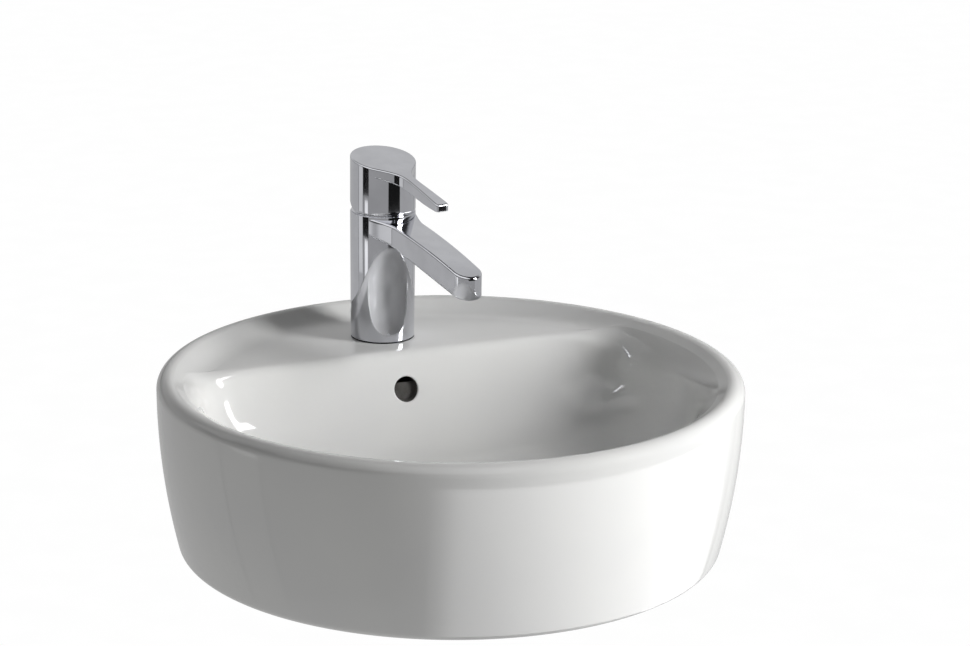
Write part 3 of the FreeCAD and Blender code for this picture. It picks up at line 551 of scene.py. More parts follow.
# The glazed body: rays from the drain carry one closed section out over the bowl, deck and lip,
# down the outer wall and back along the hollow underside to the drain
def makeBasin(b=basin):
    turn = np.arange(b["rays"]) * 2 * np.pi / b["rays"]
    stop = placesAt(rimJoin()[0], turn)
    place = np.linspace(0, 1, b["bowlRows"])[:, None] * stop
    inside = bowlPoint(place, turn + 0 * place)
    edge = inside[-1]
    heading = np.arctan2(edge[:, 1], edge[:, 0])
    fromDrain = np.arctan2(inside[0, :, 1] - b["drainY"], inside[0, :, 0])

    # A ring about the basin's centre: the radius times cosine and sine of each ray's heading
    def aboutCentre(radius, height):
        radius = radius + 0 * heading
        return np.stack([radius * np.cos(heading), radius * np.sin(heading), height + 0 * heading], axis=-1)

    # A ring about the drain: the radius times cosine and sine of each ray's turn
    def aboutDrain(radius, height):
        x, y = radius * np.cos(fromDrain), b["drainY"] + radius * np.sin(fromDrain)
        return np.stack([x, y, height + 0 * fromDrain], axis=-1)

    # The lip is part of a circle, from the rim's cone over the crest to the upright outer wall
    lip = []
    for angle in np.radians(np.linspace(-b["rimSlope"], 90, 21)[1:]):
        lip.append(aboutCentre(b["rimRadius"] - b["lipRadius"] * (1 - math.sin(angle)),
                               b["rimHeight"] - b["lipRadius"] * (1 - math.cos(angle))))
    # The foot's rounding touches the wall's arc at about its own radius above the counter
    fillet = b["footRounding"]
    lean = math.atan2(wallRadius(fillet + 0.5) - wallRadius(fillet - 0.5), 1.0)
    footCentre = wallRadius(fillet) - fillet / math.cos(lean)
    wallLow = fillet - fillet * math.sin(lean)
    heights = np.linspace(b["rimHeight"] - b["lipRadius"], wallLow, 26)[1:]
    wall = [aboutCentre(wallRadius(height), height) for height in heights]
    foot = []
    for angle in np.linspace(-lean, -np.pi / 2, 9)[1:]:
        foot.append(aboutCentre(footCentre + fillet * math.cos(angle), fillet + fillet * math.sin(angle)))
    under = [
        aboutCentre(b["footInner"], 0.0),
        aboutCentre(b["grooveRadius"], b["grooveTop"]),
        aboutCentre(b["bowlRadius"], b["grooveTop"]),
        aboutCentre(b["dishRadius"], b["floorUnder"]),
        aboutDrain(b["bossRadius"], b["floorUnder"]),
        aboutDrain(b["bossRadius"], b["bossHeight"]),
        aboutDrain(b["drainHole"], b["bossHeight"]),
        aboutDrain(b["drainHole"], b["recessHeight"]),
        aboutDrain(b["drainRecess"], b["recessHeight"]),
        *(aboutDrain(b["drainRecess"] + out, b["floorHeight"] - down) for out, down in b["recessSoft"]),
        inside[0],
    ]
    outside = np.stack([edge] + lip + wall + foot + under)

    # The window for the overflow stands in the middle of the back wall
    centreColumn = b["rays"] // 4
    columns = (centreColumn - b["windowColumns"], centreColumn + b["windowColumns"])
    levels = inside[:, centreColumn, 2]
    limits = (b["overflowHeight"] - b["windowBelow"], b["overflowHeight"] + b["windowAbove"])
    rows = [int(np.argmax(levels > limit)) for limit in limits]
    points, quads = gridPatch(inside, wrap=True)
    grid = quads.reshape(b["bowlRows"] - 1, b["rays"], 4)
    keep = np.ones(grid.shape[:2], dtype=bool)
    keep[rows[0]:rows[1], columns[0]:columns[1]] = False
    window = overflowPatches(place, turn, inside, rows, columns)
    return pieceFrom("glazedBasin", [(points, grid[keep]), window, gridPatch(outside, wrap=True)])


# The space below the deck is cut from the underside, a rib for the overflow's duct joined to what is left,
# then duct, tap hole and drain cut through. Pocket, rib and duct are outlines carried straight across.
def hollowBasin(piece, b=basin):
    edge, top, drainY = b["deckEdgeY"], b["deckUnder"], b["drainY"]
    foot, step = edge - b["pocketFoot"], edge - b["pocketStep"]
    pocket = pieceFrom("pocketTool", prismAlong([
        (edge + b["wall"], top), (edge + b["pocketLean"], b["grooveTop"]), (step, b["stepHeight"]),
        (foot, b["floorUnder"]), (foot, -past), (b["rimRadius"], -past), (b["rimRadius"], top),
    ], b["pocketHalf"]))
    inner, halfway = b["footInner"], top / 2
    within = pieceFrom("withinTool", [turned([
        (0, -past), (inner, -past), (inner, 0), (wallRadius(halfway) - b["sideHalfway"], halfway),
        (wallRadius(top) - b["sideTop"], top), (0, top),
    ], 192)])
    pocket = combined(pocket, within, "INTERSECT")
    shell = b["ductWall"]
    front = edge + b["wall"]
    back = front + b["ductDepth"]
    rib = pieceFrom("ribTool", prismAlong([
        (drainY, b["bossHeight"]), (back + shell, b["bossHeight"]), (back + shell, top + shell),
        (front - shell, top + shell), (edge + b["pocketLean"] - shell, b["grooveTop"]),
        (step, b["floorUnder"] + 2 * shell), (drainY, b["floorUnder"] + shell),
    ], b["ductHalf"] + shell))
    low, high = b["ductFloor"], b["ductFloor"] + b["ductDepth"]
    duct = prismAlong([
        (drainY, low), (back, low), (back, top - shell), (front, top - shell), (front, high), (drainY, high),
    ], b["ductHalf"])
    tapHole = upright(b["tapHole"], top - past, b["rimHeight"], 0.0, b["tapY"])
    drain = upright(b["drainHole"], -past, b["recessHeight"] + past, 0.0, drainY)
    piece = combined(piece, pocket, "DIFFERENCE")
    piece = combined(piece, rib, "UNION")
    piece = combined(piece, pieceFrom("ductTool", duct + [tapHole, drain]), "DIFFERENCE")
    bore = b["overflowRadius"] - 0.15  # clear of the tunnel's own wall
    points, quads = upright(bore, edge + 2 * past, b["overflowEnd"], count=72)
    points = points[:, [0, 2, 1]] + np.array([0.0, 0.0, b["overflowHeight"]])
    return combined(piece, pieceFrom("overflowTool", [(points, quads)]), "DIFFERENCE")


# Faces behind the overflow's rounding, in its tunnel and duct, are left unglazed, with a dark clay as painted
# shade
def paintDuctShade(piece, b=basin):
    mesh = piece.data
    middle = np.empty(3 * len(mesh.polygons))
    mesh.polygons.foreach_get("center", middle)
    x, y, z = middle.reshape(-1, 3).T / millimetre
    slack, margin = 0.03, 1.0
    tunnel = np.hypot(x, z - b["overflowHeight"]) < b["overflowRadius"] + slack
    tunnel &= y > b["deckEdgeY"] - b["wall"]
    duct = (np.abs(x) < b["ductHalf"] + slack) & (y > b["deckEdgeY"] + margin)
    duct &= (z > b["ductFloor"] - margin) & (z < b["deckUnder"] - b["ductWall"] + margin)
    # Faces that get the dark clay: painted shade of the hollow
    shadedFaces = (tunnel | duct) & (y < b["deckEdgeY"] + b["wall"] + b["ductDepth"] + margin)
    mesh.materials.append(materials["bare_clay"])
    mesh.polygons.foreach_set("material_index", shadedFaces.astype(np.int32))


basinPiece = hollowBasin(makeBasin())
settle(basinPiece, "basin", "ceramic_glaze", "basin_skirt", "basin_bowl", "basin_deck")
# The overflow's tunnel and duct get painted shade: a dark clay
paintDuctShade(basinPiece)


# Mixer tap, in its own frame with its foot at the origin and the spout along -Y

tap = {
    "turn": 10.0, "y": 135.5, "deck": 118.0,
    "footRadius": 24.0, "topRadius": 24.5, "height": 97.5, "gasket": 1.0, "edge": 0.45, "innerEdge": 0.3,
    "recessRadius": 19.0, "recessHeight": 26.0, "chamberRadius": 17.6, "chamberFloor": 62.0,
    "seatRadius": 6.6, "seatX": 8.5, "seatY": -5.0, "seatDepth": 10.0, "studRadius": 4.1, "studY": 10.0,
    "studDepth": 14.0,
}

spout = {
    "rootRadius": 23.6, "leave": 8.0, "neckHalf": 12.8, "neckReach": 37.5, "tipRadius": 11.2, "end": 126.6,
    "past": 127.6, "rootTop": 97.3, "bendTop": 92.95, "tipTop": 74.6, "rootUnder": 85.8, "tipUnder": 57.0,
    "rounding": 1.6, "pull": 0.25, "rear": -23.0, "outletY": -115.4, "outletRadius": 8.5, "outletDepth": 12.0,
}


# From the tap's frame to its place on the deck: a turn about the upright axis, then a move
def onTap(patch, t=tap):
    points, quads = patch
    turn = math.radians(t["turn"])
    spin = np.array([[math.cos(turn), math.sin(turn), 0], [-math.sin(turn), math.cos(turn), 0], [0, 0, 1]])
    return points @ spin + np.array([0.0, t["y"], t["deck"]]), quads


# Half of a teardrop seen from above, root to tip: a cubic that leaves the root circle along its tangent,
# a straight flank that touches neck and tip, then the tip's arc. Gives the points and outward normals.
def teardropHalf(rootRadius, leave, neckHalf, neckReach, tipRadius, end, pull, counts=(40, 14, 22)):
    turn = math.radians(leave)
    root = rootRadius * np.array([math.cos(turn), -math.sin(turn)])
    tipCentre = np.array([0.0, tipRadius - end])
    lean = math.asin((neckHalf - tipRadius) / (end - tipRadius - neckReach))
    side = np.array([math.cos(lean), -math.sin(lean)])
    neck = np.array([0.0, -neckReach]) + neckHalf * side
    tip = tipCentre + tipRadius * side
    reach = pull * (root[1] - neck[1])
    leaveTo = root - reach * np.array([math.sin(turn), math.cos(turn)])
    along = (tip - neck) / np.hypot(*(tip - neck))
    arriveFrom = neck - reach * along
    s = np.linspace(0, 1, counts[0])[:, None]
    flank = cubic(root, leaveTo, arriveFrom, neck, s)
    slope = quadratic(leaveTo - root, arriveFrom - leaveTo, neck - arriveFrom, s)
    run = mix(neck, tip, np.linspace(0, 1, counts[1])[1:-1, None])
    angle = np.linspace(-lean, -np.pi / 2, counts[2])[:, None]
    around = np.hstack([np.cos(angle), np.sin(angle)])
    slope = slope / np.linalg.norm(slope, axis=1, keepdims=True)
    flankNormal = np.column_stack([-slope[:, 1], slope[:, 0]])
    points = np.vstack([flank, run, tipCentre + tipRadius * around])
    normals = np.vstack([flankNormal, 0 * run + side, around])
    points[-1, 0] = 0.0
    return points, normals


# Right and left halves of a grid that meets its mirror image on x = 0
def bothSides(points):
    flipped = points * np.array([-1.0, 1.0, 1.0])
    return [gridPatch(points), gridPatch(flipped)]


# The spout: the teardrop's outline carried up between its underside and top, its edges rounded by a
# quarter circle, its faces drawn in to the middle line
def spoutPatches(s=spout):
    outline, normal = teardropHalf(s["rootRadius"], s["leave"], s["neckHalf"], s["neckReach"],
                                   s["tipRadius"], s["end"], s["pull"])

    # The top bends down along a quadratic curve
    def above(y):
        return quadratic(s["rootTop"], s["bendTop"], s["tipTop"], -y / s["past"])

    # The underside falls along a straight line
    def below(y):
        return mix(s["rootUnder"], s["tipUnder"], -y / s["past"])

    # The outline drawn in by an inset, at the height of a face there plus a drop
    def ringRow(inset, height, drop):
        plan = outline - normal * inset
        plan[-1, 0] = 0.0
        return np.column_stack([plan, height(plan[:, 1]) + drop])

    # A face from its edge to the middle line, by shares of the way
    def faceRows(edgeRow, height, shares):
        middle = np.column_stack([0 * edgeRow[:, 0], np.minimum(edgeRow[:, 1], s["rear"])])
        for share in shares:
            plan = mix(edgeRow[:, :2], middle, share)
            yield np.column_stack([plan, height(plan[:, 1])])

    # Rows stand close to each rounding, so that it shades apart from the faces
    f = s["rounding"]
    angles = np.radians(np.linspace(0, 90, 8))
    rows = list(faceRows(ringRow(f, below, 0.0), below, (1.0, 0.5, 0.03)))
    rows += [ringRow(f * (1 - math.sin(a)), below, f * (1 - math.cos(a))) for a in angles]
    low, high = rows[-1], ringRow(0.0, above, -f)
    rows += [mix(low, high, share) for share in (0.06, 0.5, 0.94)]
    rows += [ringRow(f * (1 - math.cos(a)), above, -f * (1 - math.sin(a))) for a in angles]
    rows += list(faceRows(ringRow(f, above, 0.0), above, (0.03, 0.5, 1.0)))
    grid = np.stack(rows)
    rear = grid[:, :1]
    closing = np.concatenate([rear, rear * np.array([0.0, 1.0, 1.0])], axis=1)
    closing[:, 1, 1] = np.minimum(rear[:, 0, 1], s["rear"])
    return bothSides(grid) + bothSides(closing)


# The casting: a slightly flared post turned about its axis, with the spout standing out of it
def makeTap(t=tap, s=spout):
    post = rounded([
        (0, t["recessHeight"], 0), (t["recessRadius"], t["recessHeight"], 0),
        (t["recessRadius"], t["gasket"], t["innerEdge"]), (t["footRadius"], t["gasket"], t["edge"]),
        (t["topRadius"], t["height"], t["edge"]), (t["chamberRadius"], t["height"], t["innerEdge"]),
        (t["chamberRadius"], t["chamberFloor"], 0), (0, t["chamberFloor"], 0),
    ])
    wallLow = np.argmax(post[:, 1] > t["gasket"] + 2 * t["edge"])
    steps = mix(post[wallLow - 1], post[wallLow], np.linspace(0.01, 0.99, 20)[:, None])
    body = pieceFrom("tapCasting", [onTap(turned(np.vstack([post[:wallLow], steps, post[wallLow:]]), 160))])
    ceiling = t["recessHeight"]
    seats = [upright(t["studRadius"], ceiling - past, ceiling + t["studDepth"], 0.0, t["studY"])]
    for x in (-t["seatX"], t["seatX"]):
        seats.append(upright(t["seatRadius"], ceiling - past, ceiling + t["seatDepth"], x, t["seatY"]))
    body = combined(body, pieceFrom("seatTool", [onTap(seat) for seat in seats]), "DIFFERENCE")
    arm = pieceFrom("spoutShell", [onTap(patch) for patch in spoutPatches()])
    low, high = s["tipUnder"] - past, s["tipUnder"] + s["outletDepth"]
    outlet = upright(s["outletRadius"], low, high, 0.0, s["outletY"])
    arm = combined(arm, pieceFrom("outletTool", [onTap(outlet)]), "DIFFERENCE")
    joined = bmesh.new()
    joined.from_mesh(body.data)
    joined.from_mesh(arm.data)
    joined.to_mesh(body.data)
    joined.free()
    bpy.data.objects.remove(arm)
    smoothed(body)
    return body


settle(makeTap(), "basin", "chrome", "tap_body")


# Lever: a round cap over the ball, drawn out into a slim arm

lever = {
    "low": 99.0, "radius": 24.5, "leave": 44.0, "neckHalf": 4.2, "neckReach": 52.0, "tipHalf": 5.3,
    "end": 86.0, "pull": 0.54, "flatEnd": 84.0, "cornerRounding": 1.1, "past": 85.0,
    "rearTop": 46.8, "bendTop": 36.8, "tipTop": 20.2, "rootUnder": 35.5, "bendUnder": 17.2, "tipUnder": 15.1,
    "rounding": 1.2, "underRounding": 0.5, "lowRounding": 0.4, "bore": 21.5, "boreHeight": 28.0,
    "relief": 27.0, "turnIn": 4.0, "coverRadius": 3.6, "coverHeight": 32.0, "coverStart": 16.0,
}


# Top of the lever over y: one quadratic curve from the back of the cap down to the tip
def leverTop(y, v=lever):
    s = (2 * v["radius"] - y) / (2 * v["radius"] + v["past"])
    return v["low"] + quadratic(v["rearTop"], v["bendTop"], v["tipTop"], s)


# Underside of the arm: a quadratic curve from the axis to the tip, level behind the place where the arm
# leaves the cap
def armUnder(y, v=lever):
    s = np.maximum(-y, v["radius"] * math.sin(math.radians(v["leave"]))) / v["past"]
    return v["low"] + quadratic(v["rootUnder"], v["bendUnder"], v["tipUnder"], s)


# The arm's half outline with its round tip cut off square; a quadratic curve softens the corner
def squaredArm(v=lever):
    arm, normal = teardropHalf(v["radius"], v["leave"], v["neckHalf"], v["neckReach"], v["tipHalf"], v["end"],
                               v["pull"], (36, 12, 40))
    keep = arm[:, 1] > -v["flatEnd"] + v["cornerRounding"]
    start = arm[keep][-1]
    corner = np.array([np.interp(v["flatEnd"], -arm[:, 1], arm[:, 0]), -v["flatEnd"]])
    finish = corner - np.array([v["cornerRounding"], 0.0])
    s = np.linspace(0, 1, 8)[1:, None]
    bend = quadratic(start, corner, finish, s)
    slope = mix(corner - start, finish - corner, s)
    slope = slope / np.linalg.norm(slope, axis=1, keepdims=True)
    flat = mix(finish, np.array([0.0, -v["flatEnd"]]), np.linspace(0, 1, 5)[1:, None])
    points = np.vstack([arm[keep], bend, flat])
    bendNormal = np.column_stack([-slope[:, 1], slope[:, 0]])
    normals = np.vstack([normal[keep], bendNormal, 0 * flat + np.array([0.0, -1.0])])
    return points, normals


# Lower edge of the cap: level in front, cut away at a slope behind so that the lever can lift
def capLow(y, v=lever):
    return v["low"] + np.maximum(y, 0) * math.tan(math.radians(v["relief"]))


# The half outline runs from the back of the cap round its circle and out along the arm. Each point carries
# a wall from its own lower edge to the rounded top, and the top is drawn in to the middle line.
def leverPatches(v=lever):
    arm, armNormal = squaredArm()
    turn = np.linspace(np.pi / 2, -math.radians(v["leave"]), 60)[:, None]
    capNormal = np.hstack([np.cos(turn), np.sin(turn)])
    capNormal[0, 0] = 0.0
    cap = v["radius"] * capNormal
    f = v["rounding"]
    angles = np.radians(np.linspace(0, 90, 7))

    # An outline drawn in by an inset, where points on the middle line stay on it
    def ringRow(plan, normal, inset):
        moved = plan - normal * inset
        moved[np.abs(plan[:, 0]) < 1e-9, 0] = 0.0
        return moved

    # Top, fillet and upper wall over the whole outline
    outline, normal = np.vstack([cap[:-1], arm]), np.vstack([capNormal[:-1], armNormal])
    edge = ringRow(outline, normal, f)
    rows = []
    for share in (1.0, 0.6, 0.2, 0.03):
        plan = np.column_stack([edge[:, 0] * (1 - share), edge[:, 1]])
        rows.append(np.column_stack([plan, leverTop(plan[:, 1])]))
    for a in angles[::-1]:
        plan = ringRow(outline, normal, f * (1 - math.cos(a)))
        rows.append(np.column_stack([plan, leverTop(plan[:, 1]) - f * (1 - math.sin(a))]))
    u = v["underRounding"]
    low = np.column_stack([outline, armUnder(outline[:, 1]) + u])
    rows += [mix(rows[-1], low, share) for share in (0.05, 0.5, 0.95, 1.0)]
    patches = bothSides(np.stack(rows))

    # Arm's underside: rounded edge, then in to the cap's circle and the middle line
    armRows = []
    for a in np.radians(np.linspace(0, 90, 5)):
        plan = ringRow(arm, armNormal, u * (1 - math.cos(a)))
        armRows.append(np.column_stack([plan, armUnder(plan[:, 1]) + u * (1 - math.sin(a))]))
    plan = armRows[-1][:, :2]
    sweep = np.radians(np.linspace(-v["leave"], -90, 24))
    front = v["radius"] * np.column_stack([np.cos(sweep), np.sin(sweep)])
    front[-1, 0] = 0.0
    beyond = np.column_stack([0 * plan[:, 0], np.minimum(plan[:, 1], -v["radius"])])
    steps = np.linspace(0, 1, len(front))
    count = int(np.sum(plan[:, 1] > -v["radius"] - v["turnIn"]))
    onCircle = np.column_stack([np.interp(np.linspace(0, 1, count), steps, front[:, 0]),
                                np.interp(np.linspace(0, 1, count), steps, front[:, 1])])
    onCircle *= v["radius"] / np.linalg.norm(onCircle, axis=1, keepdims=True)
    middle = np.vstack([onCircle, beyond[count:]])
    for share in (0.05, 0.5, 1.0):
        inner = mix(plan, middle, share)
        armRows.append(np.column_stack([inner, armUnder(inner[:, 1])]))
    patches += bothSides(np.stack(armRows))

    # Cap below the arm: its wall behind and in front, lower edge, bore and ceiling
    frontTurn = np.linspace(-math.radians(v["leave"]), -np.pi / 2, count)[:, None]
    frontNormal = np.hstack([np.cos(frontTurn), np.sin(frontTurn)])
    frontNormal[-1, 0] = 0.0
    ringNormal = np.vstack([capNormal, frontNormal[1:]])
    wallTop = armUnder(v["radius"] * ringNormal[:, 1])
    wallTop[:len(capNormal)] += u
    wallTop[len(capNormal):] = armUnder(onCircle[1:, 1])
    soft = v["lowRounding"]
    lowRows = []

    # The cap's half circle at a radius, each point at its own height
    def capRow(radius, height):
        return np.column_stack([radius * ringNormal, height])

    base = capLow(v["radius"] * ringNormal[:, 1])
    upperRow, lowerRow = capRow(v["radius"], wallTop), capRow(v["radius"], base + soft)
    lowRows += [mix(upperRow, lowerRow, share) for share in (0.0, 0.5, 0.94, 1.0)]
    for a in np.radians((30, 60, 90)):
        radius = v["radius"] - soft * (1 - math.cos(a))
        lowRows.append(capRow(radius, capLow(radius * ringNormal[:, 1]) + soft * (1 - math.sin(a))))
    ceiling = v["low"] + v["boreHeight"] + 0 * base
    boreLow = capRow(v["bore"], capLow(v["bore"] * ringNormal[:, 1]))
    boreHigh = capRow(v["bore"], ceiling)
    lowRows += [mix(lowRows[-1], boreLow, 0.1), mix(lowRows[-1], boreLow, 0.9), boreLow]
    lowRows += [mix(boreLow, boreHigh, 0.5), boreHigh, capRow(0.0, ceiling)]
    return patches + bothSides(np.stack(lowRows))


# The lever with a round bore for the screw's cover, which lies level and opens at the back of the cap
def makeLever(v=lever):
    piece = pieceFrom("leverCasting", [onTap(patch) for patch in leverPatches()])
    points, quads = upright(v["coverRadius"], v["coverStart"], v["radius"] + past, count=48)
    points = points[:, [0, 2, 1]] + np.array([0.0, 0.0, v["low"] + v["coverHeight"]])
    return combined(piece, pieceFrom("coverTool", [onTap((points, quads))]), "DIFFERENCE")


settle(makeLever(), "lever_arm", "chrome", "lever")


# Turned parts, then the spring

collar = {
    "low": 97.5, "flangeRadius": 23.7, "flange": 1.1, "edge": 0.25,
    "ball": 20.5, "shell": 1.6, "opening": 14.0,
}


# Ball collar: a zone of a spherical shell about the lever's pivot, turned on a flat flange
def makeCollar(c=collar, v=lever):
    inner = c["ball"] - c["shell"]
    low = c["low"] + c["flange"] - v["low"]
    sweep = np.linspace(math.asin(low / c["ball"]), math.acos(c["opening"] / c["ball"]), 24)
    ball = np.column_stack([c["ball"] * np.cos(sweep), v["low"] + c["ball"] * np.sin(sweep)])
    back = np.linspace(math.acos(c["opening"] / inner), math.asin((c["low"] - v["low"]) / inner), 20)
    hollow = np.column_stack([inner * np.cos(back), v["low"] + inner * np.sin(back)])
    flange = rounded([
        (inner, c["low"], 0), (c["flangeRadius"], c["low"], c["edge"]),
        (c["flangeRadius"], c["low"] + c["flange"], c["edge"]), (c["ball"], c["low"] + c["flange"], 0),
    ])[1:]
    return pieceFrom("ballCollar", [onTap(turned(np.vstack([flange, ball[1:], hollow]), 128, closed=True))])


settle(makeCollar(), "basin", "chrome", "dome_collar")

aerator = {"radius": 8.4, "inner": 7.1, "low": 58.954, "height": 10.0, "edge": 0.35, "y": -115.4}


# Aerator ring: a plain tube with softened lower edges
def makeAerator(a=aerator):
    profile = rounded([
        (a["inner"], a["low"] + a["height"], 0), (a["inner"], a["low"], a["edge"]),
        (a["radius"], a["low"], a["edge"]), (a["radius"], a["low"] + a["height"], 0),
    ])
    points, quads = turned(profile, 96, closed=True)
    return pieceFrom("aeratorRing", [onTap((points + np.array([0.0, a["y"], 0.0]), quads))])


settle(makeAerator(), "basin", "chrome", "aerator_housing")

plug = {
    "under": 47.3, "radius": 29.0, "edge": 2.4, "crown": 1.8, "crownIn": 1.5,
    "rounding": 0.9, "underRounding": 0.5,
}


# Plug: a disc with a rounded edge under a shallow crown, part of a sphere whose radius is the sum of the
# squares of the disc's radius and the crown's height over twice that height
def makePlug(p=plug, b=basin):
    edgeTop = p["under"] + p["edge"]
    bend = (p["radius"] ** 2 + p["crown"] ** 2) / (2 * p["crown"])
    r = np.linspace(p["radius"] - p["crownIn"], 0, 20)
    crown = np.column_stack([r, edgeTop + p["crown"] - bend + np.sqrt(bend ** 2 - r ** 2)])
    edge = rounded([
        (0, p["under"], 0), (p["radius"], p["under"], p["underRounding"]),
        (p["radius"], edgeTop, p["rounding"]), (*crown[0], 0),
    ])
    points, quads = turned(np.vstack([edge, crown[1:]]), 128)
    return pieceFrom("plugDome", [(points + np.array([0.0, b["drainY"], 0.0]), quads)])


settle(makePlug(), "plug", "chrome", "plug_cap")

spring = {"low": 34.0, "high": 47.0, "radius": 6.1, "wire": 0.8, "turns": 5.0, "keep": 0.385}


# Click spring: a round wire carried up a helix about the plug's stem, each end closed at the wire's middle
def makeSpring(s=spring, b=basin):
    turn = np.linspace(0, 2 * np.pi * s["turns"], 161)[:, None]
    climb = (s["high"] - s["low"] - 2 * s["wire"]) / (2 * np.pi * s["turns"])
    outward = np.hstack([np.cos(turn), np.sin(turn), 0 * turn])[:, None]
    along = np.hstack([-s["radius"] * np.sin(turn), s["radius"] * np.cos(turn), climb + 0 * turn])
    across = np.cross(along / np.hypot(s["radius"], climb), outward[:, 0])[:, None]
    middle = s["radius"] * outward + np.array([0.0, b["drainY"], s["low"] + s["wire"]])
    middle[:, :, 2] += climb * turn
    around = np.linspace(0, 2 * np.pi, 17)[:-1, None]
    tube = middle + s["wire"] * (np.cos(around) * outward + np.sin(around) * across)
    wire = np.concatenate([tube[:1] * 0 + middle[:1], tube, tube[-1:] * 0 + middle[-1:]])
    return pieceFrom("clickSpring", [gridPatch(wire, wrap=True)])


springPiece = makeSpring()
settle(springPiece, "basin", "steel", "click_spring")
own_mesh(springPiece)


# Studio: a pale floor that turns up into a backdrop all round, bright paper below and behind, a dark room
# above. Floor, height and turnUp are in metres, and fibre is in millimetres. The spans are heights of a
# direction, or the share of it that points from the camera to the back.

studio = {
    "floor": 6.0, "height": 8.0, "turnUp": 3.0, "paper": ("#fefefe", "#ffffff"), "paperGlow": 1.0,
    "fibre": 40.0, "below": 0.44, "behind": 0.56, "above": 0.04,
    "paperSpan": (0.03, -0.08), "bandLow": (0.03, 0.2), "bandHigh": (0.85, 0.6), "backSpan": (0.2, 0.6),
}


# Floor and backdrop: a flat disc, a quarter circle and an upright wall turned about the middle
def makeStudio(s=studio):
    angle = np.linspace(0, np.pi / 2, 16)
    r = s["floor"] + s["turnUp"] * np.sin(angle)
    z = s["turnUp"] * (1 - np.cos(angle))
    profile = np.vstack([
        np.column_stack([np.linspace(0, s["floor"], 8)[:-1], np.zeros(7)]),
        np.column_stack([r, z]), [(r[-1], s["height"])],
    ]) / millimetre
    floor = pieceFrom("studioFloor", [turned(profile, 96)], sharp=60)
    material, tree, place = newMaterial("paperSweep")
    fibre = addNode(tree, "ShaderNodeTexNoise", {
        "Vector": place, "Scale": 1 / (s["fibre"] * millimetre), "Detail": 2.0,
    })
    tone = addNode(tree, "ShaderNodeValToRGB", {"Fac": fibre.outputs["Fac"]}, stops=zip(toneSpan, s["paper"]))
    glow = addNode(tree, "ShaderNodeEmission", {"Color": tone.outputs["Color"], "Strength": s["paperGlow"]})
    addNode(tree, "ShaderNodeOutputMaterial", {"Surface": glow.outputs["Emission"]})
    floor.data.materials.append(material)
    floor.visible_diffuse = False
    floor.visible_glossy = False
    floor.visible_shadow = False


# Light from all round: the lit paper below the horizon, plus the backdrop behind the basin between two
# heights, plus a little everywhere
def makeWorld(s=studio):
    world = bpy.data.worlds.new("studioWorld")
    scene.world = world
    world.use_nodes = True
    tree = world.node_tree
    tree.nodes.clear()
    heading = addNode(tree, "ShaderNodeTexCoord").outputs["Generated"]
    height = addNode(tree, "ShaderNodeSeparateXYZ", {"Vector": heading}).outputs["Z"]
    azimuth = math.radians(camera["azimuth"])
    away = (-math.sin(azimuth), math.cos(azimuth), 0.0)
    along = addNode(tree, "ShaderNodeVectorMath", {0: heading, 1: away}, operation="DOT_PRODUCT")
    ahead = along.outputs["Value"]

    # Each rises smoothly from 0 to a level as its value goes from one place to another
    steps = {}
    for name, (value, span, level) in {
        "paper": (height, s["paperSpan"], s["below"]),
        "bandLow": (height, s["bandLow"], 1.0),
        "bandHigh": (height, s["bandHigh"], 1.0),
        "back": (ahead, s["backSpan"], s["behind"]),
    }.items():
        steps[name] = addNode(tree, "ShaderNodeMapRange", {
            "Value": value, "From Min": span[0], "From Max": span[1], "To Max": level,
        }, interpolation_type="SMOOTHSTEP").outputs["Result"]
    band = addNode(tree, "ShaderNodeMath", {0: steps["bandLow"], 1: steps["bandHigh"]}, operation="MULTIPLY")
    lit = addNode(tree, "ShaderNodeMath", {
        0: steps["back"], 1: band.outputs["Value"], 2: steps["paper"],
    }, operation="MULTIPLY_ADD")
    total = addNode(tree, "ShaderNodeMath", {0: lit.outputs["Value"], 1: s["above"]}, operation="ADD")
    sky = addNode(tree, "ShaderNodeBackground", {
        "Color": hexColour("#ffffff"), "Strength": total.outputs["Value"],
    })
    addNode(tree, "ShaderNodeOutputWorld", {"Surface": sky.outputs["Background"]})


# Lamps by their direction from the basin, seen from the camera: right is positive, in degrees
lampAim = np.array([0.0, 0.0, 0.1])
lamps = {
    "key": {"side": 75.0, "up": 21.5, "away": 1.7, "size": (0.45, 1.1), "power": 29.0, "mirrored": True},
    "fill": {"side": -42.0, "up": 50.0, "away": 2.0, "size": (1.2, 1.2), "power": 2.2, "mirrored": False},
}


# A rectangular lamp on a sphere about the point that it is aimed at, turned to face it
def makeLamp(name, values):
    data = bpy.data.lights.new(name, "AREA")
    data.shape = "RECTANGLE"
    data.size, data.size_y = values["size"]
    data.energy = values["power"]
    holder = bpy.data.objects.new(name, data)
    holder.visible_glossy = values["mirrored"]
    bearing = math.radians(camera["azimuth"] - 90 + values["side"])
    up = math.radians(values["up"])
    facing = np.array([math.cos(bearing) * math.cos(up), math.sin(bearing) * math.cos(up), math.sin(up)])
    right = np.array([-math.sin(bearing), math.cos(bearing), 0.0])
    over = np.cross(facing, right)
    turn = Matrix(np.column_stack([right, over, facing]).tolist()).to_4x4()
    place = lampAim + values["away"] * facing
    holder.matrix_world = Matrix.Translation(place.tolist()) @ turn
    scene.collection.objects.link(holder)


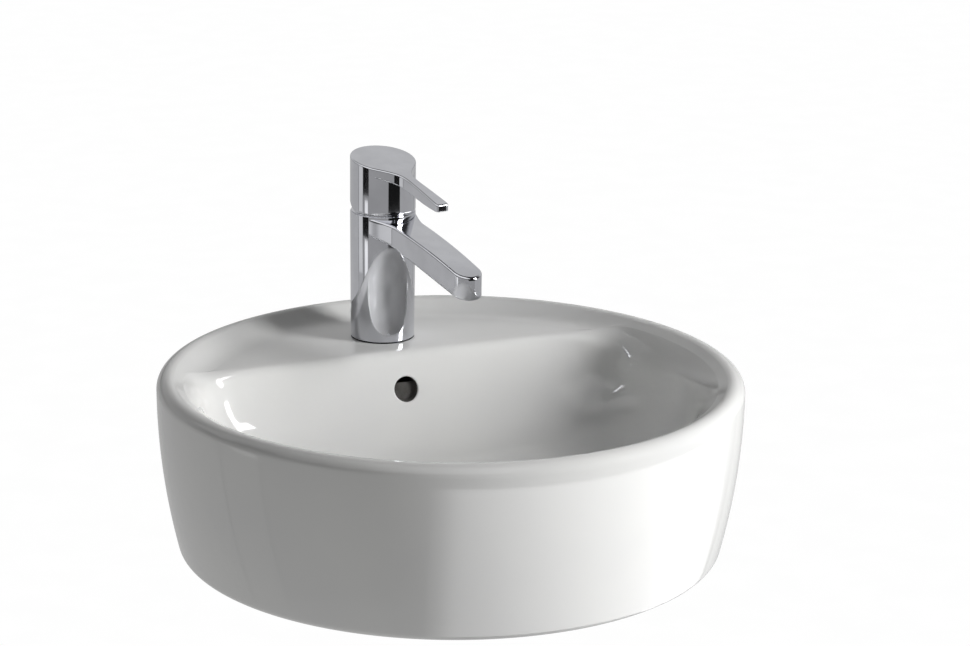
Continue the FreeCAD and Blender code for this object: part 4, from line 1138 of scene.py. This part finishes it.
# Cards round the tap that only mirrors see: sides from and to, in degrees as for the lamps, then the
# distance and height in metres of the lower and the upper edge, the degrees over which the ends fade to a
# share of the card, and how bright it is
endShare = 0.3
cards = {
    "leftGrey": {"sides": (-180, -92), "away": (2.5, 2.5), "edges": (-2.0, 0.3), "soft": 2, "glow": 0.50},
    "leftPale": {"sides": (-92, -72), "away": (2.5, 2.5), "edges": (-0.5, 0.3), "soft": 2, "glow": 0.70},
    "leftStreak": {"sides": (-64, -50), "away": (0.6, 0.6), "edges": (-0.02, 0.0845), "soft": 2, "glow": 1.1},
    "leftBlack": {"sides": (-70, -48), "away": (0.6, 0.6), "edges": (0.0895, 0.45), "soft": 2, "glow": 0.01},
    "frontGrey": {"sides": (-72, 62), "away": (2.5, 2.5), "edges": (-2.0, 0.3), "soft": 2, "glow": 0.37},
    "rightBlack": {"sides": (21, 63), "away": (0.6, 0.6), "edges": (0.073, 0.45), "soft": 2, "glow": 0.01},
    "rightPale": {"sides": (62, 140), "away": (2.5, 2.5), "edges": (-2.0, 0.3), "soft": 2, "glow": 0.46},
    "backGrey": {"sides": (140, 180), "away": (2.5, 2.5), "edges": (-2.0, 0.3), "soft": 2, "glow": 0.50},
    "floor": {"sides": (-4, 130), "away": (0.55, 2.2), "edges": (-0.6, -0.6), "soft": 12, "glow": 2.8},
    "overhead": {"sides": (-120, 40), "away": (1.7, 0.3), "edges": (0.9, 1.9), "soft": 2, "glow": 1.00},
}


# A card bent round the tap's axis: an arc carried straight from its lower to its upper edge
def makeCard(name, values):
    bearing = np.radians(camera["azimuth"] - 90 + np.linspace(*values["sides"], 24))
    away = np.linspace(*values["away"], 6)[:, None]
    height = np.linspace(*values["edges"], 6)[:, None]
    x = away * np.cos(bearing)
    axisY = tap["y"] * millimetre
    y = axisY + away * np.sin(bearing)
    card = pieceFrom(name, [gridPatch(np.stack([x, y, height + 0 * x], axis=2) / millimetre)])
    material, tree, place = newMaterial(name + "Card")
    # Brightness falls off over the last degrees at each end of the arc
    half = math.radians(values["sides"][1] - values["sides"][0]) / 2
    swung = addNode(tree, "ShaderNodeMapping", {
        "Vector": place, "Location": (0.0, axisY, 0.0), "Rotation": (0.0, 0.0, bearing.mean()),
    }, vector_type="TEXTURE")
    axes = addNode(tree, "ShaderNodeSeparateXYZ", {"Vector": swung.outputs["Vector"]})
    angle = addNode(tree, "ShaderNodeMath", {0: axes.outputs["Y"], 1: axes.outputs["X"]}, operation="ARCTAN2")
    aside = addNode(tree, "ShaderNodeMath", {0: angle.outputs[0]}, operation="ABSOLUTE")
    fade = addNode(tree, "ShaderNodeMapRange", {
        "Value": aside.outputs[0], "From Min": half - math.radians(values["soft"]), "From Max": half,
        "To Min": values["glow"], "To Max": endShare * values["glow"],
    }, interpolation_type="SMOOTHSTEP")
    glow = addNode(tree, "ShaderNodeEmission", {"Strength": fade.outputs["Result"]})
    addNode(tree, "ShaderNodeOutputMaterial", {"Surface": glow.outputs["Emission"]})
    card.data.materials.append(material)
    card.visible_camera = False
    card.visible_diffuse = False
    card.visible_shadow = False
    card.visible_transmission = False


makeStudio()
makeWorld()
for cardName, cardValues in cards.items():
    makeCard(cardName, cardValues)
for lampName, lampValues in lamps.items():
    makeLamp(lampName, lampValues)
print("studio set")
